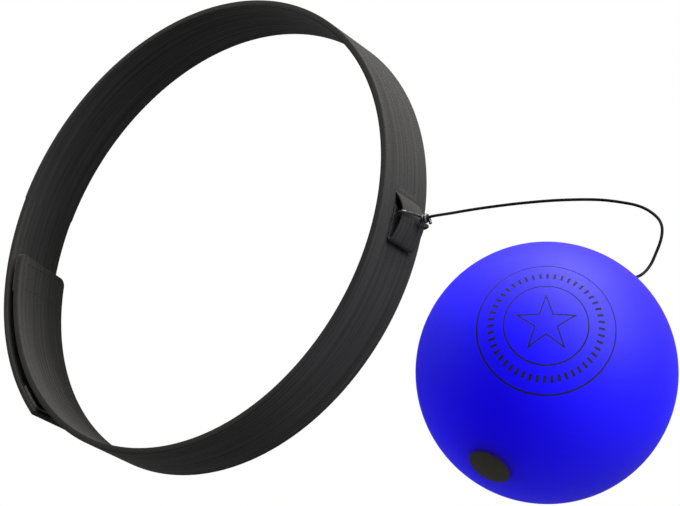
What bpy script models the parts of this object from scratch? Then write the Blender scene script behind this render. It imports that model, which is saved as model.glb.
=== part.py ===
"""Boxing reflex ball: a head strap, a sewn cord tab, an elastic cord and a foam ball.

Units are metres, +Z is up. The strap stands on its lower edge at z = 0 and the ball lies
on the same surface in front of it. The tab faces -Y, and the strap closes at the back.
Angles round the strap are measured from +X, seen from above.
"""

import math

import bmesh
import bpy
import numpy as np
from mathutils import Vector

MM = 0.001

# Strap
BAND_OUTER_DIAMETER = 143.7 * MM
STRAP_WIDTH = 20.0 * MM
STRAP_THICKNESS = 1.9 * MM
STRAP_EDGE_CHAMFER = 0.3 * MM
STRAP_STEP_ANGLE = math.radians(3.0)

# Closure: the strap's inner end lies under its outer end, the tongue
INNER_TIP_ANGLE = math.radians(96.0)
OVERLAP_LENGTH = 58.0 * MM
LAYER_GAP_AT_TIP = 2.2 * MM
LAYER_GAP_AT_END = 2.4 * MM
INNER_BLEND_LENGTH = 160.0 * MM
TONGUE_BLEND_LENGTH = 70.5 * MM
TONGUE_ROOT_LEAD = 10.0 * MM
TIP_SLANT = 1.6 * MM
TIP_SLANT_FADE = 20.0 * MM
TIP_CORNER_RADIUS = 2.2 * MM
TIP_UPPER_CORNER_RADIUS = 1.0 * MM
TONGUE_CORNER_RADIUS = 0.6 * MM
HOOK_PATCH_LENGTH = 10.5 * MM
HOOK_PATCH_SETBACK = 0.8 * MM
HOOK_PATCH_MARGIN = 0.4 * MM

# Cord tab
TAB_WIDTH = 10.4 * MM
TAB_THICKNESS = 0.8 * MM
TAB_CREST_HEIGHT = 3.9 * MM
TAB_MID_HEIGHT = 9.3 * MM
TAB_FOOT_LENGTH = 2.6 * MM
TAB_RISE_LENGTH = 7.0 * MM
TAB_FALL_LENGTH = 6.6 * MM
TAB_BASE_PAST_CREST = 3.0 * MM
TAB_RISE_POWER = 0.9
TAB_FALL_POWER = 1.7

# Cord and its knots
CORD_DIAMETER = 0.8 * MM
CORD_POINT_STEP = 2.4 * MM
CORD_LEAD = 1.2 * MM
KNOT_TURNS = 1.25
KNOT_TURN_GAP = 0.5 * MM
KNOT_DROP = 2.0 * MM
LOOP_SLACK = 0.5 * MM
KNOT_STANDOFF = 0.2 * MM
KNOT_LEAD = 0.65 * MM
KNOT_TAIL_LENGTH = 3.0 * MM
HITCH_BEND_RADIUS = 1.1 * MM
HITCH_YAW = math.radians(14.0)
LOOP_POINTS = 24

# Ball
BALL_DIAMETER = 64.5 * MM
BORE_AXIS = Vector((-0.9015, 0.0650, 0.4280)).normalized()
BORE_CLEARANCE = 0.35 * MM
PLUG_DIAMETER = 10.4 * MM
PLUG_LENGTH = 3.4 * MM
PLUG_CHAMFER = 0.4 * MM
STOPPER_TURNS = 1.5
STOPPER_CROWN = 0.5 * MM
WASHER_CLEARANCE = 0.8 * MM
WASHER_THICKNESS = 1.2 * MM
BALL_ARC_STEPS = 24
BALL_SEGMENTS = 48
ROUND_SEGMENTS = 32

# Clearance between pieces that rest on each other
SEAT_GAP = 0.3 * MM

# The free cord's route from the knot to the straight run into the ball, measured from the
# foot of the tab with heights under the cord, and the place where it enters the ball
CORD_ROUTE = [
    Vector(point) * MM
    for point in (
        (3.4, -13.2, 4.9),
        (4.8, -17.0, 2.9),
        (6.1, -22.4, 1.1),
        (7.0, -32.0, 0.15),
        (7.1, -44.5, 0.1),
        (6.4, -57.0, 0.1),
        (4.9, -65.9, 0.1),
        (3.5, -71.0, 0.1),
        (1.55, -74.8, 0.1),
        (-0.8, -77.6, 0.1),
        (-3.4, -78.9, 0.1),
        (-6.6, -79.0, 0.1),
        (-10.0, -78.2, 0.1),
        (-13.6, -77.3, 0.5),
        (-17.0, -76.7, 2.8),
        (-19.6, -76.2, 6.8),
        (-21.4, -75.8, 11.8),
    )
]
BALL_ENTRY = Vector((-24.852, -75.176)) * MM

# Values that follow from the sizes above
BAND_RADIUS = BAND_OUTER_DIAMETER / 2
MID_RADIUS = BAND_RADIUS - STRAP_THICKNESS / 2
BALL_RADIUS = BALL_DIAMETER / 2
CORD_RADIUS = CORD_DIAMETER / 2
INNER_STEP = STRAP_THICKNESS + LAYER_GAP_AT_TIP
TAB_BASE_HEIGHT = SEAT_GAP + TAB_THICKNESS / 2
TAB_FOLD_HEIGHT = TAB_BASE_HEIGHT + TAB_THICKNESS + SEAT_GAP
TAB_CREST_MID = TAB_CREST_HEIGHT - TAB_THICKNESS / 2
HITCH_PIVOT_HEIGHT = (TAB_BASE_HEIGHT + TAB_CREST_MID) / 2
LOOP_DEPTH = TAB_CREST_HEIGHT - HITCH_PIVOT_HEIGHT + LOOP_SLACK + CORD_RADIUS
KNOT_REACH = LOOP_DEPTH + HITCH_BEND_RADIUS + KNOT_STANDOFF
KNOT_RADIUS = CORD_DIAMETER + KNOT_TURN_GAP
KNOT_PITCH = CORD_DIAMETER + KNOT_TURN_GAP
KNOT_HEIGHT = TAB_MID_HEIGHT - KNOT_DROP
STOPPER_HEIGHT = STOPPER_TURNS * KNOT_PITCH + STOPPER_CROWN + CORD_DIAMETER
STOPPER_ROOM = SEAT_GAP + STOPPER_HEIGHT + SEAT_GAP
SOCKET_RADIUS = PLUG_DIAMETER / 2 + SEAT_GAP
SOCKET_DEPTH = PLUG_LENGTH + STOPPER_ROOM + WASHER_THICKNESS + SEAT_GAP
BORE_RADIUS = CORD_RADIUS + BORE_CLEARANCE
SOCKET_FLOOR = BALL_RADIUS - SOCKET_DEPTH
WASHER_TOP = SOCKET_FLOOR + SEAT_GAP + WASHER_THICKNESS


# General helpers


def smooth_curve(points, step):
    """Points about step apart on a smooth curve through the given points."""
    route = np.array([tuple(p) for p in points])
    padded = np.vstack([2 * route[0] - route[1], route, 2 * route[-1] - route[-2]])
    dense = []
    for a, b, c, d in zip(padded, padded[1:], padded[2:], padded[3:]):
        for t in np.linspace(0, 1, 16, endpoint=False):
            dense.append(
                0.5 * (2 * b + (c - a) * t + (2 * a - 5 * b + 4 * c - d) * t**2)
                + 0.5 * (3 * b - a - 3 * c + d) * t**3
            )
    dense = np.vstack([dense, route[-1]])
    lengths = np.linalg.norm(np.diff(dense, axis=0), axis=1)
    along = np.concatenate([[0], np.cumsum(lengths)])
    places = np.linspace(0, along[-1], max(2, round(along[-1] / step) + 1))
    return [
        Vector([float(np.interp(s, along, dense[:, k])) for k in range(3)]) for s in places
    ]


def least_gap(points, diameter):
    """Least clear distance between stretches of a tube that aren't next to each other."""
    route = np.array([tuple(p) for p in points])
    along = np.concatenate([[0], np.cumsum(np.linalg.norm(np.diff(route, axis=0), axis=1))])
    apart = np.linalg.norm(route[:, None] - route[None], axis=2)
    apart[np.abs(along[:, None] - along[None]) < 4 * diameter] = np.inf
    return float(apart.min()) - diameter


def make_empty(name, place, parent=None):
    """An empty that marks a frame or a joint's axis."""
    empty = bpy.data.objects.new(name, None)
    empty.empty_display_size = 5 * MM
    empty.location = place
    empty.parent = parent
    bpy.context.collection.objects.link(empty)
    return empty


def make_object(name, data, parent, material):
    """Link an object with its material under its joint's empty."""
    item = bpy.data.objects.new(name, data)
    item.parent = parent
    data.materials.append(material)
    bpy.context.collection.objects.link(item)
    return item


def make_mesh_object(name, mesh, parent, material, sharp_angle=math.radians(40)):
    """Turn a bmesh into a smooth-shaded object with sharp edges kept."""
    bmesh.ops.recalc_face_normals(mesh, faces=mesh.faces)
    data = bpy.data.meshes.new(name)
    mesh.to_mesh(data)
    mesh.free()
    data.shade_smooth()
    data.set_sharp_from_angle(angle=sharp_angle)
    return make_object(name, data, parent, material)


def make_tube(name, points, parent, material, resolution):
    """A round cord along the given points, in the parent's frame, with closed ends."""
    curve = bpy.data.curves.new(name, "CURVE")
    curve.dimensions = "3D"
    curve.bevel_depth = CORD_RADIUS
    curve.bevel_resolution = resolution
    curve.use_fill_caps = True
    spline = curve.splines.new("POLY")
    spline.points.add(len(points) - 1)
    for slot, point in zip(spline.points, points):
        slot.co = (*point, 1.0)
    return make_object(name, curve, parent, material)


def loft(sections):
    """A closed solid through rings of points, capped at both ends."""
    mesh = bmesh.new()
    rings = [[mesh.verts.new(point) for point in section] for section in sections]
    count = len(rings[0])
    for near, far in zip(rings, rings[1:]):
        for i in range(count):
            j = (i + 1) % count
            mesh.faces.new((near[i], near[j], far[j], far[i]))
    mesh.faces.new(rings[0])
    mesh.faces.new(rings[-1])
    return mesh


def revolve(profile, segments):
    """A closed solid turned about Z from (radius, height) points of a closed outline."""
    mesh = bmesh.new()
    verts = [mesh.verts.new((radius, 0, height)) for radius, height in profile]
    edges = [mesh.edges.new((a, b)) for a, b in zip(verts, verts[1:])]
    if profile[0][0] > 0:
        edges.append(mesh.edges.new((verts[-1], verts[0])))
    bmesh.ops.spin(
        mesh,
        geom=verts + edges,
        cent=(0, 0, 0),
        axis=(0, 0, 1),
        angle=2 * math.pi,
        steps=segments,
        use_merge=True,
    )
    bmesh.ops.remove_doubles(mesh, verts=mesh.verts, dist=0.00001)
    return mesh


def make_material(name, colour, roughness, metallic=0.0):
    """A plain Principled finish."""
    material = bpy.data.materials.new(name)
    material.use_nodes = True
    shader = material.node_tree.nodes["Principled BSDF"]
    shader.inputs["Base Color"].default_value = (*colour, 1.0)
    shader.inputs["Roughness"].default_value = roughness
    shader.inputs["Metallic"].default_value = metallic
    return material


# The strap's line: turn is the angle run along the strap from the inner tip


def inner_offset(turn):
    """How far inside the band's line the inner end lies."""
    t = min(turn * MID_RADIUS / INNER_BLEND_LENGTH, 1.0)
    return INNER_STEP * (1 - t) ** 2 * (1 + t)


OVERLAP_TURN = OVERLAP_LENGTH / MID_RADIUS
STRAP_TURN = 2 * math.pi + OVERLAP_TURN
ROOT_TURN = 2 * math.pi - TONGUE_ROOT_LEAD / MID_RADIUS
TONGUE_LIFT = STRAP_THICKNESS + LAYER_GAP_AT_END - inner_offset(OVERLAP_TURN)


def strap_radius(turn):
    """Radius of the strap's middle surface."""
    risen = 1 - (STRAP_TURN - turn) * MID_RADIUS / TONGUE_BLEND_LENGTH
    return MID_RADIUS - inner_offset(turn) + TONGUE_LIFT * max(risen, 0.0) ** 1.5


def strap_point(turn, offset, height):
    """A point of the strap, offset outwards from its middle surface."""
    angle = INNER_TIP_ANGLE + turn
    radius = strap_radius(turn) + offset
    return Vector((radius * math.cos(angle), radius * math.sin(angle), height))


def strap_section(turn, half, low, high, lean=0.0):
    """Chamfered cross-section of the strap between two heights, leaning along its run."""
    chamfer = min(STRAP_EDGE_CHAMFER, half / 2)
    corners = [
        (-half, low + chamfer),
        (chamfer - half, low),
        (half - chamfer, low),
        (half, low + chamfer),
        (half, high - chamfer),
        (half - chamfer, high),
        (chamfer - half, high),
        (-half, high - chamfer),
    ]
    return [
        strap_point(turn + lean * (0.5 - z / STRAP_WIDTH), offset, z) for offset, z in corners
    ]


def corner_inset(run, radius):
    """How far a rounded corner draws the edge in, at a distance from the cut end."""
    if run >= radius:
        return 0.0
    return radius - math.sqrt(radius**2 - (radius - run) ** 2)


def corner_runs(radius):
    """Distances from the cut end at which a rounded corner has points."""
    return [radius * (1 - math.cos(k * math.pi / 10)) for k in range(6)]


def spread(start, end):
    """Turns from start to end, evenly spaced at about the strap's step."""
    count = max(2, math.ceil((end - start) / STRAP_STEP_ANGLE))
    return [start + (end - start) * k / count for k in range(count + 1)]


def band_strap(parent, material):
    """The strap from its rounded inner tip, once round, to the tongue's root."""
    sections = []
    rounded = TIP_CORNER_RADIUS / MID_RADIUS
    turns = [run / MID_RADIUS for run in corner_runs(TIP_CORNER_RADIUS)[:-1]]
    turns += spread(rounded, ROOT_TURN - SEAT_GAP / 2 / MID_RADIUS)
    for turn in turns:
        run = turn * MID_RADIUS
        low = corner_inset(run, TIP_CORNER_RADIUS)
        high = STRAP_WIDTH - corner_inset(run, TIP_UPPER_CORNER_RADIUS)
        lean = TIP_SLANT * max(0.0, 1 - run / TIP_SLANT_FADE) / MID_RADIUS
        sections.append(strap_section(turn, STRAP_THICKNESS / 2, low, high, lean))
    return make_mesh_object("band_strap", loft(sections), parent, material)


def shifted(sections, pivot):
    """Sections moved into the frame of a pivot."""
    return [[point - pivot for point in section] for section in sections]


def band_tongue(parent, pivot, material):
    """The strap's outer end, from its root over the inner end to its square cut."""
    rounded = TONGUE_CORNER_RADIUS / MID_RADIUS
    turns = spread(ROOT_TURN + SEAT_GAP / 2 / MID_RADIUS, STRAP_TURN - rounded)
    ends = corner_runs(TONGUE_CORNER_RADIUS)[:-1]
    turns += [STRAP_TURN - run / MID_RADIUS for run in reversed(ends)]
    sections = []
    for turn in turns:
        inset = corner_inset((STRAP_TURN - turn) * MID_RADIUS, TONGUE_CORNER_RADIUS)
        sections.append(strap_section(turn, STRAP_THICKNESS / 2, inset, STRAP_WIDTH - inset))
    return make_mesh_object("band_tongue", loft(shifted(sections, pivot)), parent, material)


def hook_patch(name, start, parent, pivot, material):
    """A hook patch that fills the space between the strap's two layers from a given turn."""
    sections = []
    for turn in spread(start, start + HOOK_PATCH_LENGTH / MID_RADIUS):
        clear = STRAP_THICKNESS / 2 + SEAT_GAP
        inside = clear
        outside = strap_radius(turn + 2 * math.pi) - strap_radius(turn) - clear
        low = HOOK_PATCH_MARGIN
        high = STRAP_WIDTH - HOOK_PATCH_MARGIN
        corners = [(inside, low), (outside, low), (outside, high), (inside, high)]
        sections.append([strap_point(turn, offset, z) for offset, z in corners])
    return make_mesh_object(name, loft(shifted(sections, pivot)), parent, material)


# Cord tab


def tab_point(along, height, z):
    """A point given along the band from the tab's crest, above the band, and up."""
    angle = along / BAND_RADIUS
    radius = BAND_RADIUS + height
    return Vector((radius * math.sin(angle), -radius * math.cos(angle), z))


def tab_line():
    """Middle line of the tab's webbing, as (along, height) pairs: foot, crest, fold, base."""
    line = [(TAB_RISE_LENGTH + TAB_FOOT_LENGTH, TAB_BASE_HEIGHT)]
    steps = 10
    rise = TAB_CREST_MID - TAB_BASE_HEIGHT
    fall = TAB_CREST_MID - TAB_FOLD_HEIGHT
    for k in range(steps):
        t = k / steps
        bulge = math.sin(math.pi / 2 * t**TAB_RISE_POWER)
        line.append((TAB_RISE_LENGTH * (1 - t), TAB_BASE_HEIGHT + rise * bulge))
    for k in range(steps):
        t = k / steps
        line.append((-TAB_FALL_LENGTH * t, TAB_CREST_MID - fall * t**TAB_FALL_POWER))
    slope = math.atan(fall * TAB_FALL_POWER / TAB_FALL_LENGTH)
    fold = (TAB_FOLD_HEIGHT - TAB_BASE_HEIGHT) / (1 + math.cos(slope))
    fold_at = fold * math.sin(slope) - TAB_FALL_LENGTH
    for k in range(9):
        turn = math.pi / 2 + slope + (math.pi - slope) * k / 8
        across, up = fold * math.cos(turn), fold * math.sin(turn)
        line.append((fold_at + across, TAB_BASE_HEIGHT + fold + up))
    line.append((-TAB_FALL_LENGTH / 2, TAB_BASE_HEIGHT))
    line.append((0.0, TAB_BASE_HEIGHT))
    line.append((TAB_BASE_PAST_CREST, TAB_BASE_HEIGHT))
    return line


def cord_tab(parent, material):
    """The folded webbing loop that the cord is tied to."""
    line = tab_line()
    half = TAB_WIDTH / 2
    sections = []
    for i, (along, height) in enumerate(line):
        before = line[max(i - 1, 0)]
        after = line[min(i + 1, len(line) - 1)]
        run = Vector((after[0] - before[0], after[1] - before[1])).normalized()
        side = Vector((-run.y, run.x)) * TAB_THICKNESS / 2
        sections.append(
            [
                tab_point(along + sign * side.x, height + sign * side.y, TAB_MID_HEIGHT + z)
                for sign, z in ((1, -half), (-1, -half), (-1, half), (1, half))
            ]
        )
    return make_mesh_object("cord_tab", loft(sections), parent, material)


# Cord


def wound(axis_point, turns, start, climb):
    """Points of a winding round an axis: axis_point gives its frame's points."""
    count = round(turns * LOOP_POINTS)
    points = []
    for k in range(count + 1):
        turn = start - 2 * math.pi * k / LOOP_POINTS
        sideways = KNOT_RADIUS * math.cos(turn)
        upward = KNOT_RADIUS * math.sin(turn)
        points.append(axis_point(sideways, climb * k / LOOP_POINTS, upward))
    return points


def hitch_point(sideways, outward, z):
    """A point of the hitch, from its pivot inside the tab, turned to face the cord's pull."""
    cos, sin = math.cos(HITCH_YAW), math.sin(HITCH_YAW)
    return Vector((sideways * cos + outward * sin, sideways * sin - outward * cos, z))


def arc(centre, radius, start, end, count):
    """Points of an arc in the hitch's own plane, as (outward, z) pairs."""
    turns = [start + (end - start) * k / count for k in range(count + 1)]
    return [(centre[0] + radius * math.cos(t), centre[1] + radius * math.sin(t)) for t in turns]


def knot_end():
    """Outer end of the hitch's straight core, from the pivot."""
    return hitch_point(0, KNOT_REACH + KNOT_TURNS * KNOT_PITCH + KNOT_LEAD, KNOT_HEIGHT)


def cord_hitch(parent, material):
    """The cord's loop round the tab, wrapped back round the cord as a knot."""
    top = TAB_MID_HEIGHT + TAB_WIDTH / 2
    bottom = TAB_MID_HEIGHT - TAB_WIDTH / 2
    wrap = LOOP_DEPTH / 2
    core = KNOT_REACH + KNOT_TURNS * KNOT_PITCH + KNOT_LEAD
    plane = [(core, KNOT_HEIGHT), (core - CORD_DIAMETER, KNOT_HEIGHT)]
    bend = (LOOP_DEPTH + HITCH_BEND_RADIUS, KNOT_HEIGHT - HITCH_BEND_RADIUS)
    plane += arc(bend, HITCH_BEND_RADIUS, math.pi / 2, math.pi, 5)
    plane += arc((wrap, bottom), wrap, 0, -math.pi, 10)
    plane += [(0, bottom + (top - bottom) * k / 4) for k in range(1, 4)]
    plane += arc((wrap, top), wrap, math.pi, 0, 10)
    points = [hitch_point(0, outward, z) for outward, z in plane]
    down = [
        (0, LOOP_DEPTH, top),
        (KNOT_RADIUS / 8, LOOP_DEPTH + CORD_RADIUS / 4, top - CORD_DIAMETER),
        (KNOT_RADIUS * 0.7, (LOOP_DEPTH + KNOT_REACH) / 2, (top + KNOT_HEIGHT) / 2),
        (KNOT_RADIUS, KNOT_REACH - CORD_RADIUS / 4, KNOT_HEIGHT + CORD_DIAMETER),
        (KNOT_RADIUS, KNOT_REACH, KNOT_HEIGHT),
    ]
    points += smooth_curve([hitch_point(*p) for p in down], CORD_DIAMETER)[1:-1]

    def on_core(sideways, along, upward):
        return hitch_point(sideways, KNOT_REACH + along, KNOT_HEIGHT + upward)

    points += wound(on_core, KNOT_TURNS, 0.0, KNOT_PITCH)
    tail = (points[-1] - points[-2]).normalized() * KNOT_TAIL_LENGTH
    points += [points[-1] + tail / 2, points[-1] + tail]
    print(f"cord_hitch least gap to itself: {least_gap(points, CORD_DIAMETER) / MM:.2f} mm")
    return make_tube("cord_hitch", points, parent, material, 1)


def cord_stopper(parent, material):
    """The knot at the cord's end inside the ball, in the ball's frame, on its bore."""
    base = WASHER_TOP + 2 * SEAT_GAP
    top = WASHER_TOP + SEAT_GAP + CORD_RADIUS + STOPPER_TURNS * KNOT_PITCH
    points = [Vector((0, 0, base + (top - base) * k / 3)) for k in range(4)]
    half = LOOP_POINTS // 2
    for k in range(1, half):
        t = k / half
        swell = KNOT_RADIUS * math.sin(math.pi * t / 2)
        turn = -math.pi * t
        rise = STOPPER_CROWN * math.sin(math.pi * t)
        points.append(Vector((swell * math.cos(turn), swell * math.sin(turn), top + rise)))

    def round_core(sideways, along, upward):
        return Vector((sideways, upward, top - along))

    points += wound(round_core, STOPPER_TURNS, -math.pi, KNOT_PITCH)
    points.append(points[-1] + (points[-1] - points[-2]).normalized() * CORD_DIAMETER)
    print(f"cord_stopper least gap to itself: {least_gap(points, CORD_DIAMETER) / MM:.2f} mm")
    return make_tube("cord_stopper", points, parent, material, 1)


def tether_points(hitch_place, ball_place):
    """Middle line of the cord from the knot, along its route and through the ball's bore."""
    pull = hitch_point(0, 1, 0).normalized()
    start = hitch_place + knot_end() + pull * SEAT_GAP
    entry = ball_place - BORE_AXIS * BALL_RADIUS
    end = ball_place + BORE_AXIS * (WASHER_TOP + SEAT_GAP)
    leaving = start + pull * CORD_LEAD
    into_ball = [entry - BORE_AXIS * CORD_POINT_STEP, entry]
    foot = tab_point(0, 0, CORD_RADIUS)
    route = [foot + point for point in CORD_ROUTE]
    free = smooth_curve([leaving] + route + into_ball, CORD_POINT_STEP)
    inside = round((end - entry).length / CORD_POINT_STEP)
    return [start] + free + [entry.lerp(end, k / inside) for k in range(1, inside + 1)]


# Ball


def foam_ball(parent, material):
    """Solid ball with a straight bore and the plug's socket on its bore's far end."""
    first = math.asin(BORE_RADIUS / BALL_RADIUS)
    last = math.pi - math.asin(SOCKET_RADIUS / BALL_RADIUS)
    turns = [first + (last - first) * k / BALL_ARC_STEPS for k in range(BALL_ARC_STEPS + 1)]
    profile = [(BALL_RADIUS * math.sin(t), -BALL_RADIUS * math.cos(t)) for t in turns]
    profile += [(SOCKET_RADIUS, SOCKET_FLOOR), (BORE_RADIUS, SOCKET_FLOOR)]
    return make_mesh_object("foam_ball", revolve(profile, BALL_SEGMENTS), parent, material)


def retaining_washer(parent, material):
    """Flat disc on the socket's floor that spreads the stopper knot's pull."""
    low = SOCKET_FLOOR + SEAT_GAP
    outer = SOCKET_RADIUS - WASHER_CLEARANCE
    profile = [(BORE_RADIUS, low), (outer, low), (outer, WASHER_TOP), (BORE_RADIUS, WASHER_TOP)]
    return make_mesh_object("retaining_washer", revolve(profile, ROUND_SEGMENTS), parent, material)


def ball_plug(parent, material):
    """Round plug whose outer face carries on the ball's curve."""
    radius = PLUG_DIAMETER / 2
    bottom = BALL_RADIUS - PLUG_LENGTH
    profile = [(0, bottom), (radius - PLUG_CHAMFER, bottom), (radius, bottom + PLUG_CHAMFER)]
    steps = 6
    for k in range(steps + 1):
        across = radius * (1 - k / steps)
        profile.append((across, math.sqrt(BALL_RADIUS**2 - across**2)))
    return make_mesh_object("ball_plug", revolve(profile, ROUND_SEGMENTS), parent, material)


def main():
    """Clear the scene and build every piece under the empties of its joint."""
    for item in list(bpy.data.objects):
        bpy.data.objects.remove(item, do_unlink=True)

    webbing = make_material("black_webbing", (0.018, 0.018, 0.018), 0.85)
    tongue_webbing = make_material("black_webbing_tongue", (0.018, 0.018, 0.018), 0.85)
    tab_webbing = make_material("black_tab_webbing", (0.022, 0.022, 0.024), 0.8)
    hooks = make_material("black_hook_tape", (0.012, 0.012, 0.012), 0.9)
    outer_hooks = make_material("black_hook_tape_outer", (0.012, 0.012, 0.012), 0.9)
    cord = make_material("black_elastic_cord", (0.01, 0.01, 0.01), 0.5)
    hitch_cord = make_material("black_elastic_cord_hitch", (0.01, 0.01, 0.01), 0.5)
    stopper_cord = make_material("black_elastic_cord_end", (0.01, 0.01, 0.01), 0.5)
    foam = make_material("blue_foam", (0.006, 0.0, 0.76), 0.45)
    plug = make_material("black_plug", (0.015, 0.015, 0.012), 0.6)
    washer = make_material("grey_washer", (0.3, 0.3, 0.3), 0.4)

    entry = tab_point(0, 0, 0).xy + BALL_ENTRY
    ball_place = Vector((*(entry + BORE_AXIS.xy * BALL_RADIUS), BALL_RADIUS))
    left = min(ball_place.x - BALL_RADIUS, -BAND_RADIUS)
    front = ball_place.y - BALL_RADIUS
    centre = Vector((left + BAND_RADIUS, front + BAND_RADIUS, 0)) / -2
    band = make_empty("band_frame", centre)

    band_strap(band, webbing)
    start = HOOK_PATCH_SETBACK / MID_RADIUS
    hook_patch("hook_patch_inner", start, band, Vector(), hooks)
    cord_tab(band, tab_webbing)

    root = strap_point(ROOT_TURN, STRAP_THICKNESS / 2, 0)
    closure = make_empty("closure_hinge", root, band)
    band_tongue(closure, root, tongue_webbing)
    start = OVERLAP_TURN - (HOOK_PATCH_LENGTH + HOOK_PATCH_SETBACK) / MID_RADIUS
    hook_patch("hook_patch_outer", start, closure, root, outer_hooks)

    hitch_place = tab_point(0, HITCH_PIVOT_HEIGHT, 0)
    hitch = make_empty("hitch_pivot", hitch_place, band)
    cord_hitch(hitch, hitch_cord)

    lift_place = hitch_place + knot_end()
    lift = make_empty("lift_pivot", lift_place - hitch_place, hitch)
    route = tether_points(hitch_place, ball_place)
    make_tube("tether_cord", [p - lift_place for p in route], lift, cord, 2)

    ball = make_empty("ball_axis", ball_place - lift_place, lift)
    ball.rotation_euler = BORE_AXIS.to_track_quat("Z", "Y").to_euler()
    cord_stopper(ball, stopper_cord)
    foam_ball(ball, foam)
    retaining_washer(ball, washer)
    ball_plug(ball, plug)


main()
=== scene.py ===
"""Looks of a boxing reflex ball: ribbed head strap, sewn tab, knotted cord and foam ball.

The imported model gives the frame: metres, +Z up, the strap standing on its lower edge and
the ball lying in front of its tab, which faces -Y.
"""

import logging
import math
from contextlib import contextmanager
from dataclasses import dataclass, field
from enum import Enum
from typing import Callable, Iterator, Sequence

import bmesh
import bpy
import numpy as np
from mathutils import Matrix, Vector


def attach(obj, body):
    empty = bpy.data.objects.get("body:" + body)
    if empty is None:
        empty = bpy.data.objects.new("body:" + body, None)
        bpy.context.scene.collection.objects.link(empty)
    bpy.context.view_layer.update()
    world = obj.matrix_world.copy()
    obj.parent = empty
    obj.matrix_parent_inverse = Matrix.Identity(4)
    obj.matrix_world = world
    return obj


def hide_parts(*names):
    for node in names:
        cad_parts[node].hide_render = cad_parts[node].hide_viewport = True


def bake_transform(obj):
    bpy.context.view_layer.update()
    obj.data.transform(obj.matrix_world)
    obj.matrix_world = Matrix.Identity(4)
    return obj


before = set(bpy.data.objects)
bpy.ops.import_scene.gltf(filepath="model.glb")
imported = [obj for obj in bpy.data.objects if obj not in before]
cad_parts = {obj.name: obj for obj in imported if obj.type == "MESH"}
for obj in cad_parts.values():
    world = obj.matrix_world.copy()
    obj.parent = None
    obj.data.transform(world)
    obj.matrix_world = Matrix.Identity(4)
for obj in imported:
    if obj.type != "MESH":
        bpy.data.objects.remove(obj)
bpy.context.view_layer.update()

LOG = logging.getLogger("reflex_ball")

Span = tuple[float, float]
Colour = tuple[float, float, float]
Triple = tuple[float, float, float]

MM = 0.001
FINE = 0.0001 * MM
NEAR = 0.01 * MM
CREASE = math.radians(35)
CORD_CREASE = math.radians(50)
ROUTE_STEPS = 16

STRIP_UV = "UVMap"
CORD_UV = "cord_run"
FLOAT = "NodeSocketFloat"
VECTOR = "NodeSocketVector"

WHITE: Colour = (1.0, 1.0, 1.0)
WARM: Colour = (1.0, 0.955, 0.89)
COOL: Colour = (0.93, 0.95, 1.0)


class Body(str, Enum):
    """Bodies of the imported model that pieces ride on."""

    BAND = "band"
    TONGUE = "tongue"
    HITCH = "hitch"
    TETHER = "tether"
    BALL = "ball"


class Slot(str, Enum):
    """Names of material slots; no piece in this script is given one."""

    STRAP = "strap"
    HOOK_TAPE = "hook_tape"
    TAB = "tab"
    CORD = "cord"
    FOAM = "foam"
    PLUG = "plug"


class Side(Enum):
    """Which face of the strap something is on, as a sign away from the ring's centre."""

    OUTER = 1.0
    INNER = -1.0


class Keep(Enum):
    """Which side of a level cut stays."""

    BOTH = "both"
    ABOVE = "above"
    BELOW = "below"


class Twist(Enum):
    """How a curve keeps its roll from point to point."""

    UPRIGHT = "Z_UP"
    LEAST = "MINIMUM"


class Tone(Enum):
    """The two scales of an uneven tone."""

    BROAD = "Broad"
    FINE = "Fine"


# Modelling helpers


def deselect_all() -> None:
    """Leave object mode with nothing selected."""
    if bpy.context.object and bpy.context.object.mode != "OBJECT":
        bpy.ops.object.mode_set(mode="OBJECT")
    bpy.ops.object.select_all(action="DESELECT")


def activate(piece: bpy.types.Object) -> None:
    """Make one piece the only selected and active object.

    Args:
        piece: The piece.
    """
    deselect_all()
    piece.select_set(True)
    bpy.context.view_layer.objects.active = piece


@contextmanager
def editing(piece: bpy.types.Object) -> Iterator[None]:
    """Edit mode on one piece, in vertex select mode.

    Args:
        piece: The mesh to edit.

    Yields:
        Nothing, while the edits are made.
    """
    activate(piece)
    bpy.ops.object.mode_set(mode="EDIT")
    bpy.ops.mesh.select_mode(type="VERT")
    yield
    bpy.ops.object.mode_set(mode="OBJECT")


def select_points(piece: bpy.types.Object, wanted: Callable[[Vector], bool]) -> None:
    """Select the points of an edited mesh by their place, and nothing else.

    Args:
        piece: The mesh in edit mode.
        wanted: Says of a point's place whether it is selected.
    """
    bpy.ops.mesh.select_all(action="DESELECT")
    mesh = bmesh.from_edit_mesh(piece.data)
    for vert in mesh.verts:
        if wanted(vert.co):
            vert.select = True
    mesh.select_flush_mode()
    bmesh.update_edit_mesh(piece.data)


def slice_across(axis: int, places: Sequence[float]) -> None:
    """Cut the edited mesh along planes square to an axis, keeping both sides.

    Args:
        axis: 0, 1 or 2 for X, Y or Z.
        places: Where the planes cross the axis.
    """
    normal = [0.0, 0.0, 0.0]
    normal[axis] = 1.0
    for place_on_axis in places:
        bpy.ops.mesh.select_all(action="SELECT")
        point = [0.0, 0.0, 0.0]
        point[axis] = place_on_axis
        bpy.ops.mesh.bisect(plane_co=point, plane_no=normal)


def apply_modifiers(piece: bpy.types.Object) -> None:
    """Apply every modifier of a piece, in order.

    Args:
        piece: The piece.
    """
    activate(piece)
    for modifier in list(piece.modifiers):
        bpy.ops.object.modifier_apply(modifier=modifier.name)


def settle(piece: bpy.types.Object) -> None:
    """Put a piece's place, turn and scale into its mesh."""
    activate(piece)
    bpy.ops.object.transform_apply(location=True, rotation=True, scale=True)


def smooth(piece: bpy.types.Object, angle: float = CREASE) -> None:
    """Shade a piece smooth, with edges sharper than an angle kept."""
    activate(piece)
    bpy.ops.object.shade_smooth_by_angle(angle=angle)


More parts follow.
